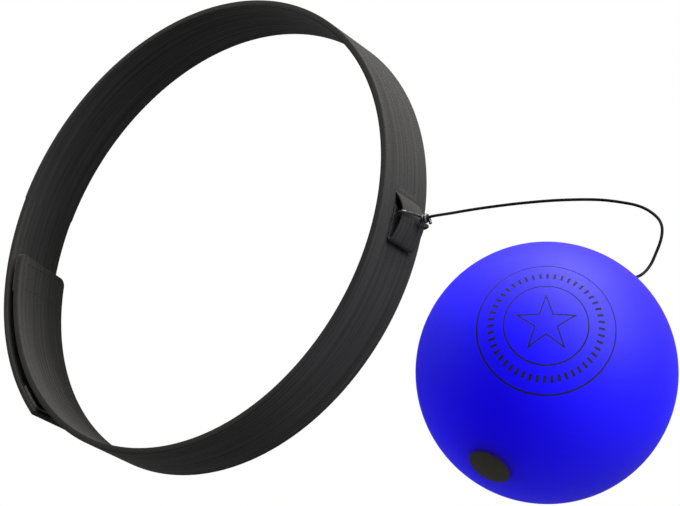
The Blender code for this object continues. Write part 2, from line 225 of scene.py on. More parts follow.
def join(name: str, parts: Sequence[bpy.types.Object]) -> bpy.types.Object:
    """Join meshes into one object.

    Args:
        name: The joined piece's name.
        parts: The meshes, of which the first stays.

    Returns:
        The joined piece.
    """
    deselect_all()
    for part in parts:
        part.select_set(True)
    bpy.context.view_layer.objects.active = parts[0]
    bpy.ops.object.join()
    parts[0].name = name
    parts[0].data.name = name
    return parts[0]


def wrap(piece: bpy.types.Object, guide: bpy.types.Object) -> None:
    """Bend a flat piece, laid out along X, along a guide curve.

    Args:
        piece: The flat piece.
        guide: The curve.
    """
    modifier = piece.modifiers.new("run", "CURVE")
    modifier.object = guide
    modifier.deform_axis = "POS_X"
    apply_modifiers(piece)


def repeat(piece: bpy.types.Object, count: int, step: Sequence[float]) -> None:
    """Add a modifier that repeats a piece at even steps.

    Args:
        piece: The piece.
        count: How many there are in all.
        step: The way from one to the next.
    """
    row = piece.modifiers.new("row", "ARRAY")
    row.count = count
    row.use_relative_offset = False
    row.use_constant_offset = True
    row.constant_offset_displace = step


def point_curve(name: str, points: Sequence[Vector], twist: Twist) -> bpy.types.Object:
    """A curve that runs straight from point to point.

    Args:
        name: The curve's name.
        points: Its points.
        twist: How it keeps its roll.

    Returns:
        The curve object.
    """
    data = bpy.data.curves.new(name, "CURVE")
    data.dimensions = "3D"
    data.twist_mode = twist.value
    spline = data.splines.new("POLY")
    spline.points.add(len(points) - 1)
    for slot, point in zip(spline.points, points):
        slot.co = (*point, 1.0)
    curve = bpy.data.objects.new(name, data)
    bpy.context.collection.objects.link(curve)
    return curve


def step_lengths(points: Sequence[Vector]) -> list[float]:
    """Lengths of the steps from point to point."""
    return [(b - a).length for a, b in zip(points, points[1:])]


def lengths_to(line: np.ndarray) -> np.ndarray:
    """Length along a line of points up to each of them."""
    return np.concatenate([[0], np.cumsum(np.linalg.norm(np.diff(line, axis=0), axis=1))])


def smooth_route(points: Sequence[Vector], step: float) -> list[Vector]:
    """Points about a step apart on a smooth curve through the given ones.

    Args:
        points: The chosen points of the route.
        step: Distance between the points that are read from it.

    Returns:
        The route's points.
    """
    route = np.array([tuple(p) for p in points])
    padded = np.vstack([2 * route[0] - route[1], route, 2 * route[-1] - route[-2]])
    dense = []
    for a, b, c, d in zip(padded, padded[1:], padded[2:], padded[3:]):
        for t in np.linspace(0, 1, ROUTE_STEPS, endpoint=False):
            dense.append(
                0.5 * (2 * b + (c - a) * t + (2 * a - 5 * b + 4 * c - d) * t**2)
                + 0.5 * (3 * b - a - 3 * c + d) * t**3
            )
    dense = np.vstack([dense, route[-1]])
    along = lengths_to(dense)
    places = np.linspace(0, along[-1], max(2, round(along[-1] / step) + 1))
    return [Vector([np.interp(s, along, dense[:, k]) for k in range(3)]) for s in places]


def cord_tube(name: str, points: Sequence[Vector], radius: float, sides: int) -> bpy.types.Object:
    """A round cord along points, as a mesh with closed ends and a UV map in metres.

    Args:
        name: The piece's name.
        points: Its middle line.
        radius: Its radius.
        sides: Faces round it, a multiple of four.

    Returns:
        The mesh object.
    """
    curve = point_curve(name, points, Twist.LEAST)
    curve.data.bevel_depth = radius
    curve.data.bevel_resolution = sides // 2 - 2
    curve.data.use_fill_caps = True
    activate(curve)
    bpy.ops.object.convert(target="MESH")
    tube = bpy.context.object
    lay_cord_uv(tube, points, radius)
    with editing(tube):
        bpy.ops.mesh.select_all(action="SELECT")
        bpy.ops.mesh.remove_doubles(threshold=FINE)
        bpy.ops.mesh.normals_make_consistent(inside=False)
    smooth(tube, CORD_CREASE)
    return tube


def lay_cord_uv(tube: bpy.types.Object, points: Sequence[Vector], radius: float) -> None:
    """Give a tube a UV map: metres along it, and metres round it.

    Args:
        tube: The mesh tube.
        points: Its middle line.
        radius: Its radius.
    """
    line = np.array([tuple(p) for p in points])
    along = lengths_to(line)
    mesh = tube.data
    layer = mesh.uv_layers.get(CORD_UV) or mesh.uv_layers.new(name=CORD_UV)
    mesh.uv_layers.active = layer
    places = []
    for vert in mesh.vertices:
        near = int(np.argmin(np.linalg.norm(line - np.array(vert.co), axis=1)))
        ahead = Vector(line[min(near + 1, len(line) - 1)] - line[max(near - 1, 0)]).normalized()
        side = ahead.orthogonal().normalized()
        other = ahead.cross(side)
        spoke = vert.co - Vector(line[near])
        places.append((along[near], math.atan2(spoke.dot(other), spoke.dot(side)) * radius))
    for loop in mesh.loops:
        layer.data[loop.index].uv = places[loop.vertex_index]


def dress(piece: bpy.types.Object, finish: bpy.types.Material) -> None:
    """Give a piece one material."""
    piece.data.materials.clear()
    piece.data.materials.append(finish)


def place(
    piece: bpy.types.Object,
    body: Body,
    finish: bpy.types.Material,
    stands_for: Sequence[str] = (),
) -> None:
    """Dress a finished piece, hide what it stands for and let it ride on its body.

    Args:
        piece: The finished piece.
        body: The body that carries it.
        finish: Its material.
        stands_for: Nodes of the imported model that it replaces.
    """
    dress(piece, finish)
    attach(piece, body.value)
    if stands_for:
        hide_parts(*stands_for)
    LOG.info("%s: %d faces on %s", piece.name, len(piece.data.polygons), body.value)


# Finishes


def opaque(colour: Colour) -> tuple[float, float, float, float]:
    """A colour that covers fully."""
    return (*colour, 1.0)


class NodeSheet:
    """Adds nodes to one tree and links them."""

    MIX_FACTOR = 0
    MIX_COLOURS = (6, 7)
    MIX_RESULT = 2

    def __init__(self, tree: bpy.types.NodeTree) -> None:
        """Start on a tree."""
        self.tree = tree

    def add(self, kind: str, **settings: object) -> bpy.types.Node:
        """Add a node with some of its settings.

        Args:
            kind: The node's type name.
            settings: Attributes of the node.

        Returns:
            The node.
        """
        node = self.tree.nodes.new(kind)
        for name, value in settings.items():
            setattr(node, name, value)
        return node

    def feed(self, socket: bpy.types.NodeSocket, value: object) -> None:
        """Link a socket to an input, or set the input to a plain value.

        Args:
            socket: The input.
            value: The socket that feeds it, or its value.
        """
        if isinstance(value, bpy.types.NodeSocket):
            self.tree.links.new(value, socket)
        else:
            socket.default_value = value

    def math(
        self, operation: str, a: object, b: object = None, c: object = None
    ) -> bpy.types.NodeSocket:
        """One sum on values or sockets.

        Args:
            operation: The Math node's operation.
            a: First value or socket.
            b: Second, where the operation has one.
            c: Third, where the operation has one.

        Returns:
            The result's socket.
        """
        node = self.add("ShaderNodeMath", operation=operation)
        for socket, value in zip(node.inputs, (a, b, c)):
            if value is not None:
                self.feed(socket, value)
        return node.outputs[0]

    def blend(self, factor: object, low: object, high: object) -> bpy.types.NodeSocket:
        """Mix two colours.

        Args:
            factor: 0 for low, 1 for high.
            low: First colour or socket.
            high: Second colour or socket.

        Returns:
            The mixed colour's socket.
        """
        node = self.add("ShaderNodeMix", data_type="RGBA")
        self.feed(node.inputs[self.MIX_FACTOR], factor)
        for index, colour in zip(self.MIX_COLOURS, (low, high)):
            self.feed(node.inputs[index], colour)
        return node.outputs[self.MIX_RESULT]

    def spread(self, value: object, span: Span) -> bpy.types.NodeSocket:
        """Stretch a value from 0 to 1 over a range.

        Args:
            value: The value or its socket.
            span: What 0 and 1 become.

        Returns:
            The result's socket.
        """
        node = self.add("ShaderNodeMapRange")
        self.feed(node.inputs["Value"], value)
        node.inputs["To Min"].default_value, node.inputs["To Max"].default_value = span
        return node.outputs[0]

    def noise(
        self, vector: bpy.types.NodeSocket, scale: object, detail: float
    ) -> bpy.types.NodeSocket:
        """A noise value round a half.

        Args:
            vector: Where the noise is read.
            scale: Its scale or the scale's socket.
            detail: How many finer layers it has.

        Returns:
            The noise's socket.
        """
        node = self.add("ShaderNodeTexNoise")
        self.feed(node.inputs["Vector"], vector)
        self.feed(node.inputs["Scale"], scale)
        node.inputs["Detail"].default_value = detail
        return node.outputs["Fac"]


def new_group(name: str, inputs: dict[str, str], outputs: dict[str, str]) -> bpy.types.NodeTree:
    """An empty shader group with named sockets.

    Args:
        name: The group's name.
        inputs: Names and socket types that go in.
        outputs: Names and socket types that come out.

    Returns:
        The group's tree, with its input and output nodes.
    """
    tree = bpy.data.node_groups.new(name, "ShaderNodeTree")
    for in_out, sockets in (("INPUT", inputs), ("OUTPUT", outputs)):
        for socket, kind in sockets.items():
            tree.interface.new_socket(socket, in_out=in_out, socket_type=kind)
    tree.nodes.new("NodeGroupInput")
    tree.nodes.new("NodeGroupOutput")
    return tree


@dataclass
class SharedGroups:
    """Shader groups that more than one finish uses, each built once."""

    rib_fullness: float = 0.6
    rib_shift: float = 0.5
    pick_height: float = 0.35
    streak_scale: Span = (14.0, 900.0)
    streak_detail: float = 3.0
    broad_detail: float = 2.0
    fine_detail: float = 4.0

    def __post_init__(self) -> None:
        """Build the groups."""
        self.weave = self._weave()
        self.mottle = self._mottle()
        self.braid = self._braid()

    def _weave(self) -> bpy.types.NodeTree:
        """Lengthwise ribs crossed by fine picks, from a run in metres.

        Returns:
            The group: Height of the yarns, Crown on the ribs, which sets the painted shade in the
                grooves between them, and Streak along them.
        """
        tree = new_group(
            "woven_ribs",
            {"Run": VECTOR, "Rib Pitch": FLOAT, "Pick Pitch": FLOAT},
            {"Height": FLOAT, "Crown": FLOAT, "Streak": FLOAT},
        )
        sheet = NodeSheet(tree)
        into, out = tree.nodes["Group Input"], tree.nodes["Group Output"]
        split = sheet.add("ShaderNodeSeparateXYZ")
        sheet.feed(split.inputs[0], into.outputs["Run"])
        rib = sheet.math("DIVIDE", split.outputs["Y"], into.outputs["Rib Pitch"])
        crown = sheet.math("ABSOLUTE", sheet.math("SINE", sheet.math("MULTIPLY", rib, math.pi)))
        crown = sheet.math("POWER", crown, self.rib_fullness)
        step = sheet.math("MULTIPLY", sheet.math("FLOOR", rib), self.rib_shift)
        pick = sheet.math("DIVIDE", split.outputs["X"], into.outputs["Pick Pitch"])
        pick = sheet.math("ADD", pick, step)
        wave = sheet.math("SINE", sheet.math("MULTIPLY", pick, 2 * math.pi))
        yarn = sheet.math("MULTIPLY_ADD", wave, 0.5, 0.5)
        raised = sheet.math("MULTIPLY", crown, yarn)
        stretch = sheet.add("ShaderNodeCombineXYZ")
        for axis, scale in zip("XY", self.streak_scale):
            sheet.feed(stretch.inputs[axis], sheet.math("MULTIPLY", split.outputs[axis], scale))
        streak = sheet.noise(stretch.outputs[0], 1.0, self.streak_detail)
        height = sheet.math("MULTIPLY_ADD", raised, self.pick_height, crown)
        sheet.feed(out.inputs["Height"], height)
        sheet.feed(out.inputs["Crown"], crown)
        sheet.feed(out.inputs["Streak"], streak)
        return tree

    def _mottle(self) -> bpy.types.NodeTree:
        """Uneven tone at two scales.

        Returns:
            The group: Broad and Fine values round a half.
        """
        tree = new_group(
            "uneven_tone",
            {"Vector": VECTOR, "Broad Scale": FLOAT, "Fine Scale": FLOAT},
            {"Broad": FLOAT, "Fine": FLOAT},
        )
        sheet = NodeSheet(tree)
        into, out = tree.nodes["Group Input"], tree.nodes["Group Output"]
        for tone, detail in ((Tone.BROAD, self.broad_detail), (Tone.FINE, self.fine_detail)):
            scale = into.outputs[f"{tone.value} Scale"]
            noise = sheet.noise(into.outputs["Vector"], scale, detail)
            sheet.feed(out.inputs[tone.value], noise)
        return tree

    def _braid(self) -> bpy.types.NodeTree:
        """Two sets of strands crossing on a cord, from a run in metres.

        Returns:
            The group: Height of the strands, which also sets the painted shade between them.
        """
        tree = new_group("cord_braid", {"Run": VECTOR, "Pitch": FLOAT}, {"Height": FLOAT})
        sheet = NodeSheet(tree)
        into, out = tree.nodes["Group Input"], tree.nodes["Group Output"]
        split = sheet.add("ShaderNodeSeparateXYZ")
        sheet.feed(split.inputs[0], into.outputs["Run"])
        along = sheet.math("DIVIDE", split.outputs["X"], into.outputs["Pitch"])
        around = sheet.math("DIVIDE", split.outputs["Y"], into.outputs["Pitch"])
        strands = []
        for operation in ("ADD", "SUBTRACT"):
            turn = sheet.math("MULTIPLY", sheet.math(operation, along, around), 2 * math.pi)
            strands.append(sheet.math("ABSOLUTE", sheet.math("SINE", turn)))
        sheet.feed(out.inputs["Height"], sheet.math("MAXIMUM", *strands))
        return tree


class Finish:
    """A material under way: its sheet of nodes and its shader."""

    def __init__(self, name: str, groups: SharedGroups) -> None:
        """Start a material with a Principled shader.

        Args:
            name: The material's name.
            groups: The shared groups.
        """
        self.groups = groups
        self.material = bpy.data.materials.new(name)
        self.material.use_nodes = True
        self.sheet = NodeSheet(self.material.node_tree)
        self.shader = self.material.node_tree.nodes["Principled BSDF"]

    def set(self, **values: object) -> None:
        """Set or link inputs of the shader, with underscores for spaces in their names."""
        for name, value in values.items():
            self.sheet.feed(self.shader.inputs[name.replace("_", " ")], value)

    def group(self, tree: bpy.types.NodeTree, **values: object) -> bpy.types.Node:
        """Place a shared group with its own values.

        Args:
            tree: The group.
            values: Its inputs, with underscores for spaces.

        Returns:
            The group node.
        """
        node = self.sheet.add("ShaderNodeGroup", node_tree=tree)
        for name, value in values.items():
            self.sheet.feed(node.inputs[name.replace("_", " ")], value)
        return node

    def tone(self, spot: bpy.types.NodeSocket, scales: Span) -> dict[Tone, bpy.types.NodeSocket]:
        """Place the uneven tone.

        Args:
            spot: Where the tone is read.
            scales: Its broad and its fine scale.

        Returns:
            The two tones' sockets.
        """
        broad, fine = scales
        node = self.group(self.groups.mottle, Vector=spot, Broad_Scale=broad, Fine_Scale=fine)
        return {tone: node.outputs[tone.value] for tone in Tone}

    def object_place(self) -> bpy.types.NodeSocket:
        """Object coordinates."""
        return self.sheet.add("ShaderNodeTexCoord").outputs["Object"]

    def uv(self, name: str, size: Span) -> bpy.types.NodeSocket:
        """A UV map, stretched to metres.

        Args:
            name: The map's name.
            size: Metres along U and V for one unit of the map.

        Returns:
            The vector's socket.
        """
        read = self.sheet.add("ShaderNodeUVMap", uv_map=name)
        node = self.sheet.add("ShaderNodeMapping")
        node.inputs["Scale"].default_value = (*size, 1.0)
        self.sheet.feed(node.inputs["Vector"], read.outputs["UV"])
        return node.outputs["Vector"]

    def bump(self, height: bpy.types.NodeSocket, depth: float, strength: float) -> None:
        """Raise the surface by a height of 0 to 1.

        Args:
            height: The height's socket.
            depth: Metres for a height of 1.
            strength: How much of it shows.
        """
        node = self.sheet.add("ShaderNodeBump")
        node.inputs["Strength"].default_value = strength
        node.inputs["Distance"].default_value = depth
        self.sheet.feed(node.inputs["Height"], height)
        self.set(Normal=node.outputs["Normal"])


@dataclass(frozen=True)
class WebbingFinish:
    """Black woven elastic, ribbed lengthwise, with painted shade: darker in the grooves between
    the ribs and lighter on their crowns.
    """

    name: str
    run: Span
    # Painted shade: the darkest tone stands for the shade in the grooves between the ribs as well
    # as for the dark streaks, and the rib crowns take the lightest tone.
    dark_tone_and_groove_shade: Colour = (0.0074, 0.0073, 0.0071)
    crown: Colour = (0.0176, 0.0174, 0.0169)
    rib_pitch: float = 1.25 * MM
    pick_pitch: float = 0.9 * MM
    tone_scales: Span = (45.0, 900.0)
    groove_shade_share: float = 0.2
    streaks: Span = (-1.1, 1.7)
    clouds: Span = (-0.15, 0.2)
    gloss: Span = (0.72, 0.95)
    shine: float = 0.2
    sheen: float = 0.05
    sheen_gloss: float = 0.5
    sheen_tint: Colour = (0.9, 0.9, 0.9)
    fuzz: float = 0.25
    relief: float = 0.06 * MM
    relief_share: float = 0.5

    def make(self, groups: SharedGroups) -> bpy.types.Material:
        """Build the material.

        Args:
            groups: The shared shader groups.

        Returns:
            The material.
        """
        finish = Finish(self.name, groups)
        sheet = finish.sheet
        weave = finish.group(
            groups.weave,
            Run=finish.uv(STRIP_UV, self.run),
            Rib_Pitch=self.rib_pitch,
            Pick_Pitch=self.pick_pitch,
        )
        tone = finish.tone(finish.object_place(), self.tone_scales)
        # Painted shade: the rib crowns lift the tone, so the grooves between the ribs are painted
        # darker; the streaks and clouds add uneven tone of the yarn.
        mixed = sheet.math("MULTIPLY", weave.outputs["Crown"], self.groove_shade_share)
        mixed = sheet.math("ADD", mixed, sheet.spread(weave.outputs["Streak"], self.streaks))
        mixed = sheet.math("ADD", mixed, sheet.spread(tone[Tone.BROAD], self.clouds))
        finish.set(
            Base_Color=sheet.blend(mixed, opaque(self.dark_tone_and_groove_shade), opaque(self.crown)),
            Roughness=sheet.spread(tone[Tone.FINE], self.gloss),
            Specular_IOR_Level=self.shine,
            Sheen_Weight=self.sheen,
            Sheen_Roughness=self.sheen_gloss,
            Sheen_Tint=opaque(self.sheen_tint),
        )
        raised = sheet.math("MULTIPLY_ADD", tone[Tone.FINE], self.fuzz, weave.outputs["Height"])
        finish.bump(raised, self.relief, self.relief_share)
        return finish.material


@dataclass(frozen=True)
class CordFinish:
    """Thin black braided elastic with a slight sheen, and painted shade that darkens the dips
    between the braid's strands.
    """

    name: str
    dark: Colour = (0.0025, 0.0025, 0.0025)
    light: Colour = (0.0065, 0.0065, 0.006)
    braid_pitch: float = 0.42 * MM
    tone_scales: Span = (120.0, 2500.0)
    gloss: Span = (0.6, 0.75)
    shine: float = 0.06
    relief: float = 0.05 * MM
    relief_share: float = 0.6

    def make(self, groups: SharedGroups) -> bpy.types.Material:
        """Build the material.

        Args:
            groups: The shared shader groups.

        Returns:
            The material.
        """
        finish = Finish(self.name, groups)
        sheet = finish.sheet
        run = finish.uv(CORD_UV, (1.0, 1.0))
        braid = finish.group(groups.braid, Run=run, Pitch=self.braid_pitch)
        tone = finish.tone(finish.object_place(), self.tone_scales)
        finish.set(
            # Painted shade: the colour is darker where the braid's strands dip and lighter on
            # their tops.
            Base_Color=sheet.blend(
                braid.outputs["Height"], opaque(self.dark), opaque(self.light)
            ),
            Roughness=sheet.spread(tone[Tone.FINE], self.gloss),
            Specular_IOR_Level=self.shine,
        )
        finish.bump(braid.outputs["Height"], self.relief, self.relief_share)
        return finish.material


@dataclass(frozen=True)
class PlainFinish:
    """One colour with an uneven tone and gloss, and a fine grain where it has one."""

    name: str
    dark: Colour
    light: Colour
    tone_scales: Span
    gloss: Span
    colour_by: Tone = Tone.BROAD
    gloss_by: Tone = Tone.FINE
    relief: float = 0.0
    relief_share: float = 0.5

    def make(self, groups: SharedGroups) -> bpy.types.Material:
        """Build the material.

        Args:
            groups: The shared shader groups.

        Returns:
            The material.
        """
        finish = Finish(self.name, groups)
        sheet = finish.sheet
        tone = finish.tone(finish.object_place(), self.tone_scales)
        finish.set(
            Base_Color=sheet.blend(tone[self.colour_by], opaque(self.dark), opaque(self.light)),
            Roughness=sheet.spread(tone[self.gloss_by], self.gloss),
        )
        if self.relief:
            finish.bump(tone[Tone.FINE], self.relief, self.relief_share)
        return finish.material


@dataclass(frozen=True)
class HookTapeFinish(PlainFinish):
    """Black moulded hook tape."""

    name: str = "hook_tape_black"
    dark: Colour = (0.010, 0.009, 0.008)
    light: Colour = (0.034, 0.030, 0.028)
    tone_scales: Span = (180.0, 1600.0)
    gloss: Span = (0.45, 0.75)
    colour_by: Tone = Tone.FINE
    gloss_by: Tone = Tone.BROAD
    relief: float = 0.08 * MM


@dataclass(frozen=True)
class ThreadFinish(PlainFinish):
    """Black sewing thread."""

    name: str = "sewing_thread_black"
    dark: Colour = (0.005, 0.005, 0.005)
    light: Colour = (0.011, 0.011, 0.011)
    tone_scales: Span = (300.0, 4000.0)
    gloss: Span = (0.7, 0.85)
    relief: float = 0.03 * MM


@dataclass(frozen=True)
class PlugFinish(PlainFinish):
    """Matte black rubbery plug with a trace of olive."""

    name: str = "plug_black"
    dark: Colour = (0.009, 0.0086, 0.0063)
    light: Colour = (0.0165, 0.0157, 0.0112)
    tone_scales: Span = (260.0, 2200.0)
    gloss: Span = (0.55, 0.75)
    relief: float = 0.05 * MM
    relief_share: float = 0.35


@dataclass(frozen=True)
class WasherFinish(PlainFinish):
    """Grey moulded plastic."""

    name: str = "washer_grey"
    dark: Colour = (0.24, 0.24, 0.24)
    light: Colour = (0.34, 0.34, 0.33)
    tone_scales: Span = (200.0, 1500.0)
    gloss: Span = (0.35, 0.5)


@dataclass(frozen=True)
class FoamFinish:
    """Strong blue skin of moulded foam, with a plain printed emblem sized in millimetres."""

    centre: Vector
    stamp_axes: Matrix
    name: str = "foam_blue"
    deep: Colour = (0.0045, 0.0003, 0.69)
    bright: Colour = (0.0065, 0.0005, 0.79)
    ink: Colour = (0.010, 0.010, 0.016)
    tone_scales: Span = (28.0, 1300.0)
    gloss: Span = (0.59, 0.69)
    ink_gloss: float = 0.25
    shine: float = 0.24
    glow: float = 1.0
    glow_reach: Triple = (0.2, 0.2, 1.0)
    glow_depth: float = 24.0 * MM
    relief: float = 0.03 * MM
    relief_share: float = 0.25
    circle_radii: Span = (16.4, 10.0)
    tick_radius: float = 13.1
    tick_half: float = 0.8
    tick_count: int = 48
    tick_share: float = 0.4
    star_radius: float = 7.2
    star_points: int = 5
    star_slope: float = math.radians(18)
    line: float = 0.2

    def make(self, groups: SharedGroups) -> bpy.types.Material:
        """Build the material.

        Args:
            groups: The shared shader groups.

        Returns:
            The material.
        """
        finish = Finish(self.name, groups)
        sheet = finish.sheet
        spot = finish.object_place()
        tone = finish.tone(spot, self.tone_scales)
        colour = sheet.blend(tone[Tone.BROAD], opaque(self.deep), opaque(self.bright))
        mask = self._emblem(sheet, spot)
        gloss = sheet.spread(tone[Tone.FINE], self.gloss)
        finish.set(
            Base_Color=sheet.blend(mask, colour, opaque(self.ink)),
            Roughness=sheet.math("MULTIPLY_ADD", mask, self.ink_gloss, gloss),
            Specular_IOR_Level=self.shine,
            Subsurface_Weight=self.glow,
            Subsurface_Radius=self.glow_reach,
            Subsurface_Scale=self.glow_depth,
        )
        finish.bump(tone[Tone.FINE], self.relief, self.relief_share)
        return finish.material

    def _emblem(self, sheet: NodeSheet, spot: bpy.types.NodeSocket) -> bpy.types.NodeSocket:
        """A star in two thin circles with a ring of ticks between them.

        Args:
            sheet: The material's nodes.
            spot: Object coordinates.

        Returns:
            The ink's mask.
        """
        local = sheet.add("ShaderNodeMapping", vector_type="TEXTURE")
        local.inputs["Location"].default_value = self.centre
        local.inputs["Rotation"].default_value = self.stamp_axes.to_euler()
        local.inputs["Scale"].default_value = (MM, MM, MM)
        sheet.feed(local.inputs["Vector"], spot)
        split = sheet.add("ShaderNodeSeparateXYZ")
        sheet.feed(split.inputs[0], local.outputs["Vector"])
        x, y, z = split.outputs
        radius = sheet.math("SQRT", sheet.math("MULTIPLY_ADD", x, x, sheet.math("MULTIPLY", y, y)))
        turn = sheet.math("ARCTAN2", x, y)
        ticks = self._ticks(sheet, radius, turn)
        found = sheet.math("MAXIMUM", ticks, self._star(sheet, radius, turn))
        for circle in self.circle_radii:
            ring = sheet.math("COMPARE", radius, circle, self.line)
            found = sheet.math("MAXIMUM", found, ring)
        return sheet.math("MULTIPLY", found, sheet.math("GREATER_THAN", z, 0.0))

    def _ticks(
        self, sheet: NodeSheet, radius: bpy.types.NodeSocket, turn: bpy.types.NodeSocket
    ) -> bpy.types.NodeSocket:
        """A ring of short strokes.

        Args:
            sheet: The material's nodes.
            radius: Distance from the emblem's middle.
            turn: Angle round it.

        Returns:
            The strokes' mask.
        """
        count = sheet.math("MULTIPLY", turn, self.tick_count / (2 * math.pi))
        stroke = sheet.math("LESS_THAN", sheet.math("FRACT", count), self.tick_share)
        ring = sheet.math("COMPARE", radius, self.tick_radius, self.tick_half)
        return sheet.math("MULTIPLY", stroke, ring)

    def _star(
        self, sheet: NodeSheet, radius: bpy.types.NodeSocket, turn: bpy.types.NodeSocket
    ) -> bpy.types.NodeSocket:
        """The outline of a star with straight sides.

        Args:
            sheet: The material's nodes.
            radius: Distance from the emblem's middle.
            turn: Angle round it.

        Returns:
            The outline's mask.
        """
        fold = sheet.math("PINGPONG", turn, math.pi / self.star_points)
        across = sheet.math("MULTIPLY", radius, sheet.math("SINE", fold))
        up = sheet.math("MULTIPLY", radius, sheet.math("COSINE", fold))
        edge = sheet.math("MULTIPLY", across, math.cos(self.star_slope))
        edge = sheet.math("MULTIPLY_ADD", up, math.sin(self.star_slope), edge)
        side = self.star_radius * math.sin(self.star_slope)
        return sheet.math("COMPARE", edge, side, self.line)


# Strap and closure


@dataclass
class StrapLine:
    """The strap's run, seen from above, from its inner tip round to the tongue's end."""

    centre: Vector = field(default_factory=lambda: Vector((7.163, 52.665, 0.0)) * MM)
    outer_radius: float = 71.85 * MM
    width: float = 20.0 * MM
    thickness: float = 1.9 * MM
    tip_angle: float = math.radians(96.0)
    overlap: float = 58.0 * MM
    gap_at_tip: float = 2.2 * MM
    gap_at_end: float = 2.4 * MM
    inner_blend: float = 160.0 * MM
    tongue_blend: float = 70.5 * MM
    tongue_power: float = 1.5
    root_lead: float = 10.0 * MM
    lead_in: float = math.radians(3.0)
    point_count: int = 901

    def __post_init__(self) -> None:
        """Work out the run's lengths and lay its guide curve."""
        self.mid_radius = self.outer_radius - self.thickness / 2
        self.overlap_turn = self.overlap / self.mid_radius
        self.full_turn = 2 * math.pi + self.overlap_turn
        self.root_turn = 2 * math.pi - self.root_lead / self.mid_radius
        self.lift = self.thickness + self.gap_at_end - self.inner_offset(self.overlap_turn)
        self.turns = np.linspace(-self.lead_in, self.full_turn + self.lead_in, self.point_count)
        points = [self.point(turn, 0.0, 0.0) for turn in self.turns]
        self.along = np.concatenate([[0], np.cumsum(step_lengths(points))])
        self.guide = point_curve("strap_guide", points, Twist.UPRIGHT)

    def inner_offset(self, turn: float) -> float:
        """How far inside the ring the inner end lies at a turn from its tip."""
        t = min(turn * self.mid_radius / self.inner_blend, 1.0)
        return (self.thickness + self.gap_at_tip) * (1 - t) ** 2 * (1 + t)

    def radius(self, turn: float) -> float:
        """Radius of the strap's middle surface at a turn from its tip.

        Args:
            turn: Angle from the inner tip.

        Returns:
            The radius.
        """
        risen = 1 - (self.full_turn - turn) * self.mid_radius / self.tongue_blend
        rise = self.lift * max(risen, 0.0) ** self.tongue_power
        return self.mid_radius - self.inner_offset(turn) + rise

    def point(self, turn: float, offset: float, height: float) -> Vector:
        """A point on the strap or beside it.

        Args:
            turn: Angle from the inner tip.
            offset: Distance outwards from the middle surface.
            height: Height above the lower edge.

        Returns:
            The point.
        """
        angle = self.tip_angle + turn
        radius = self.radius(turn) + offset
        return self.centre + Vector((radius * math.cos(angle), radius * math.sin(angle), height))

    def reach(self, turn: float) -> float:
        """Length along the guide to a turn."""
        return float(np.interp(turn, self.turns, self.along))

    def face(self, side: Side, lift: float = 0.0) -> float:
        """Where a face of the flat strap lies in Y, whose positive side turns inwards."""
        return -side.value * (self.thickness / 2 + lift)


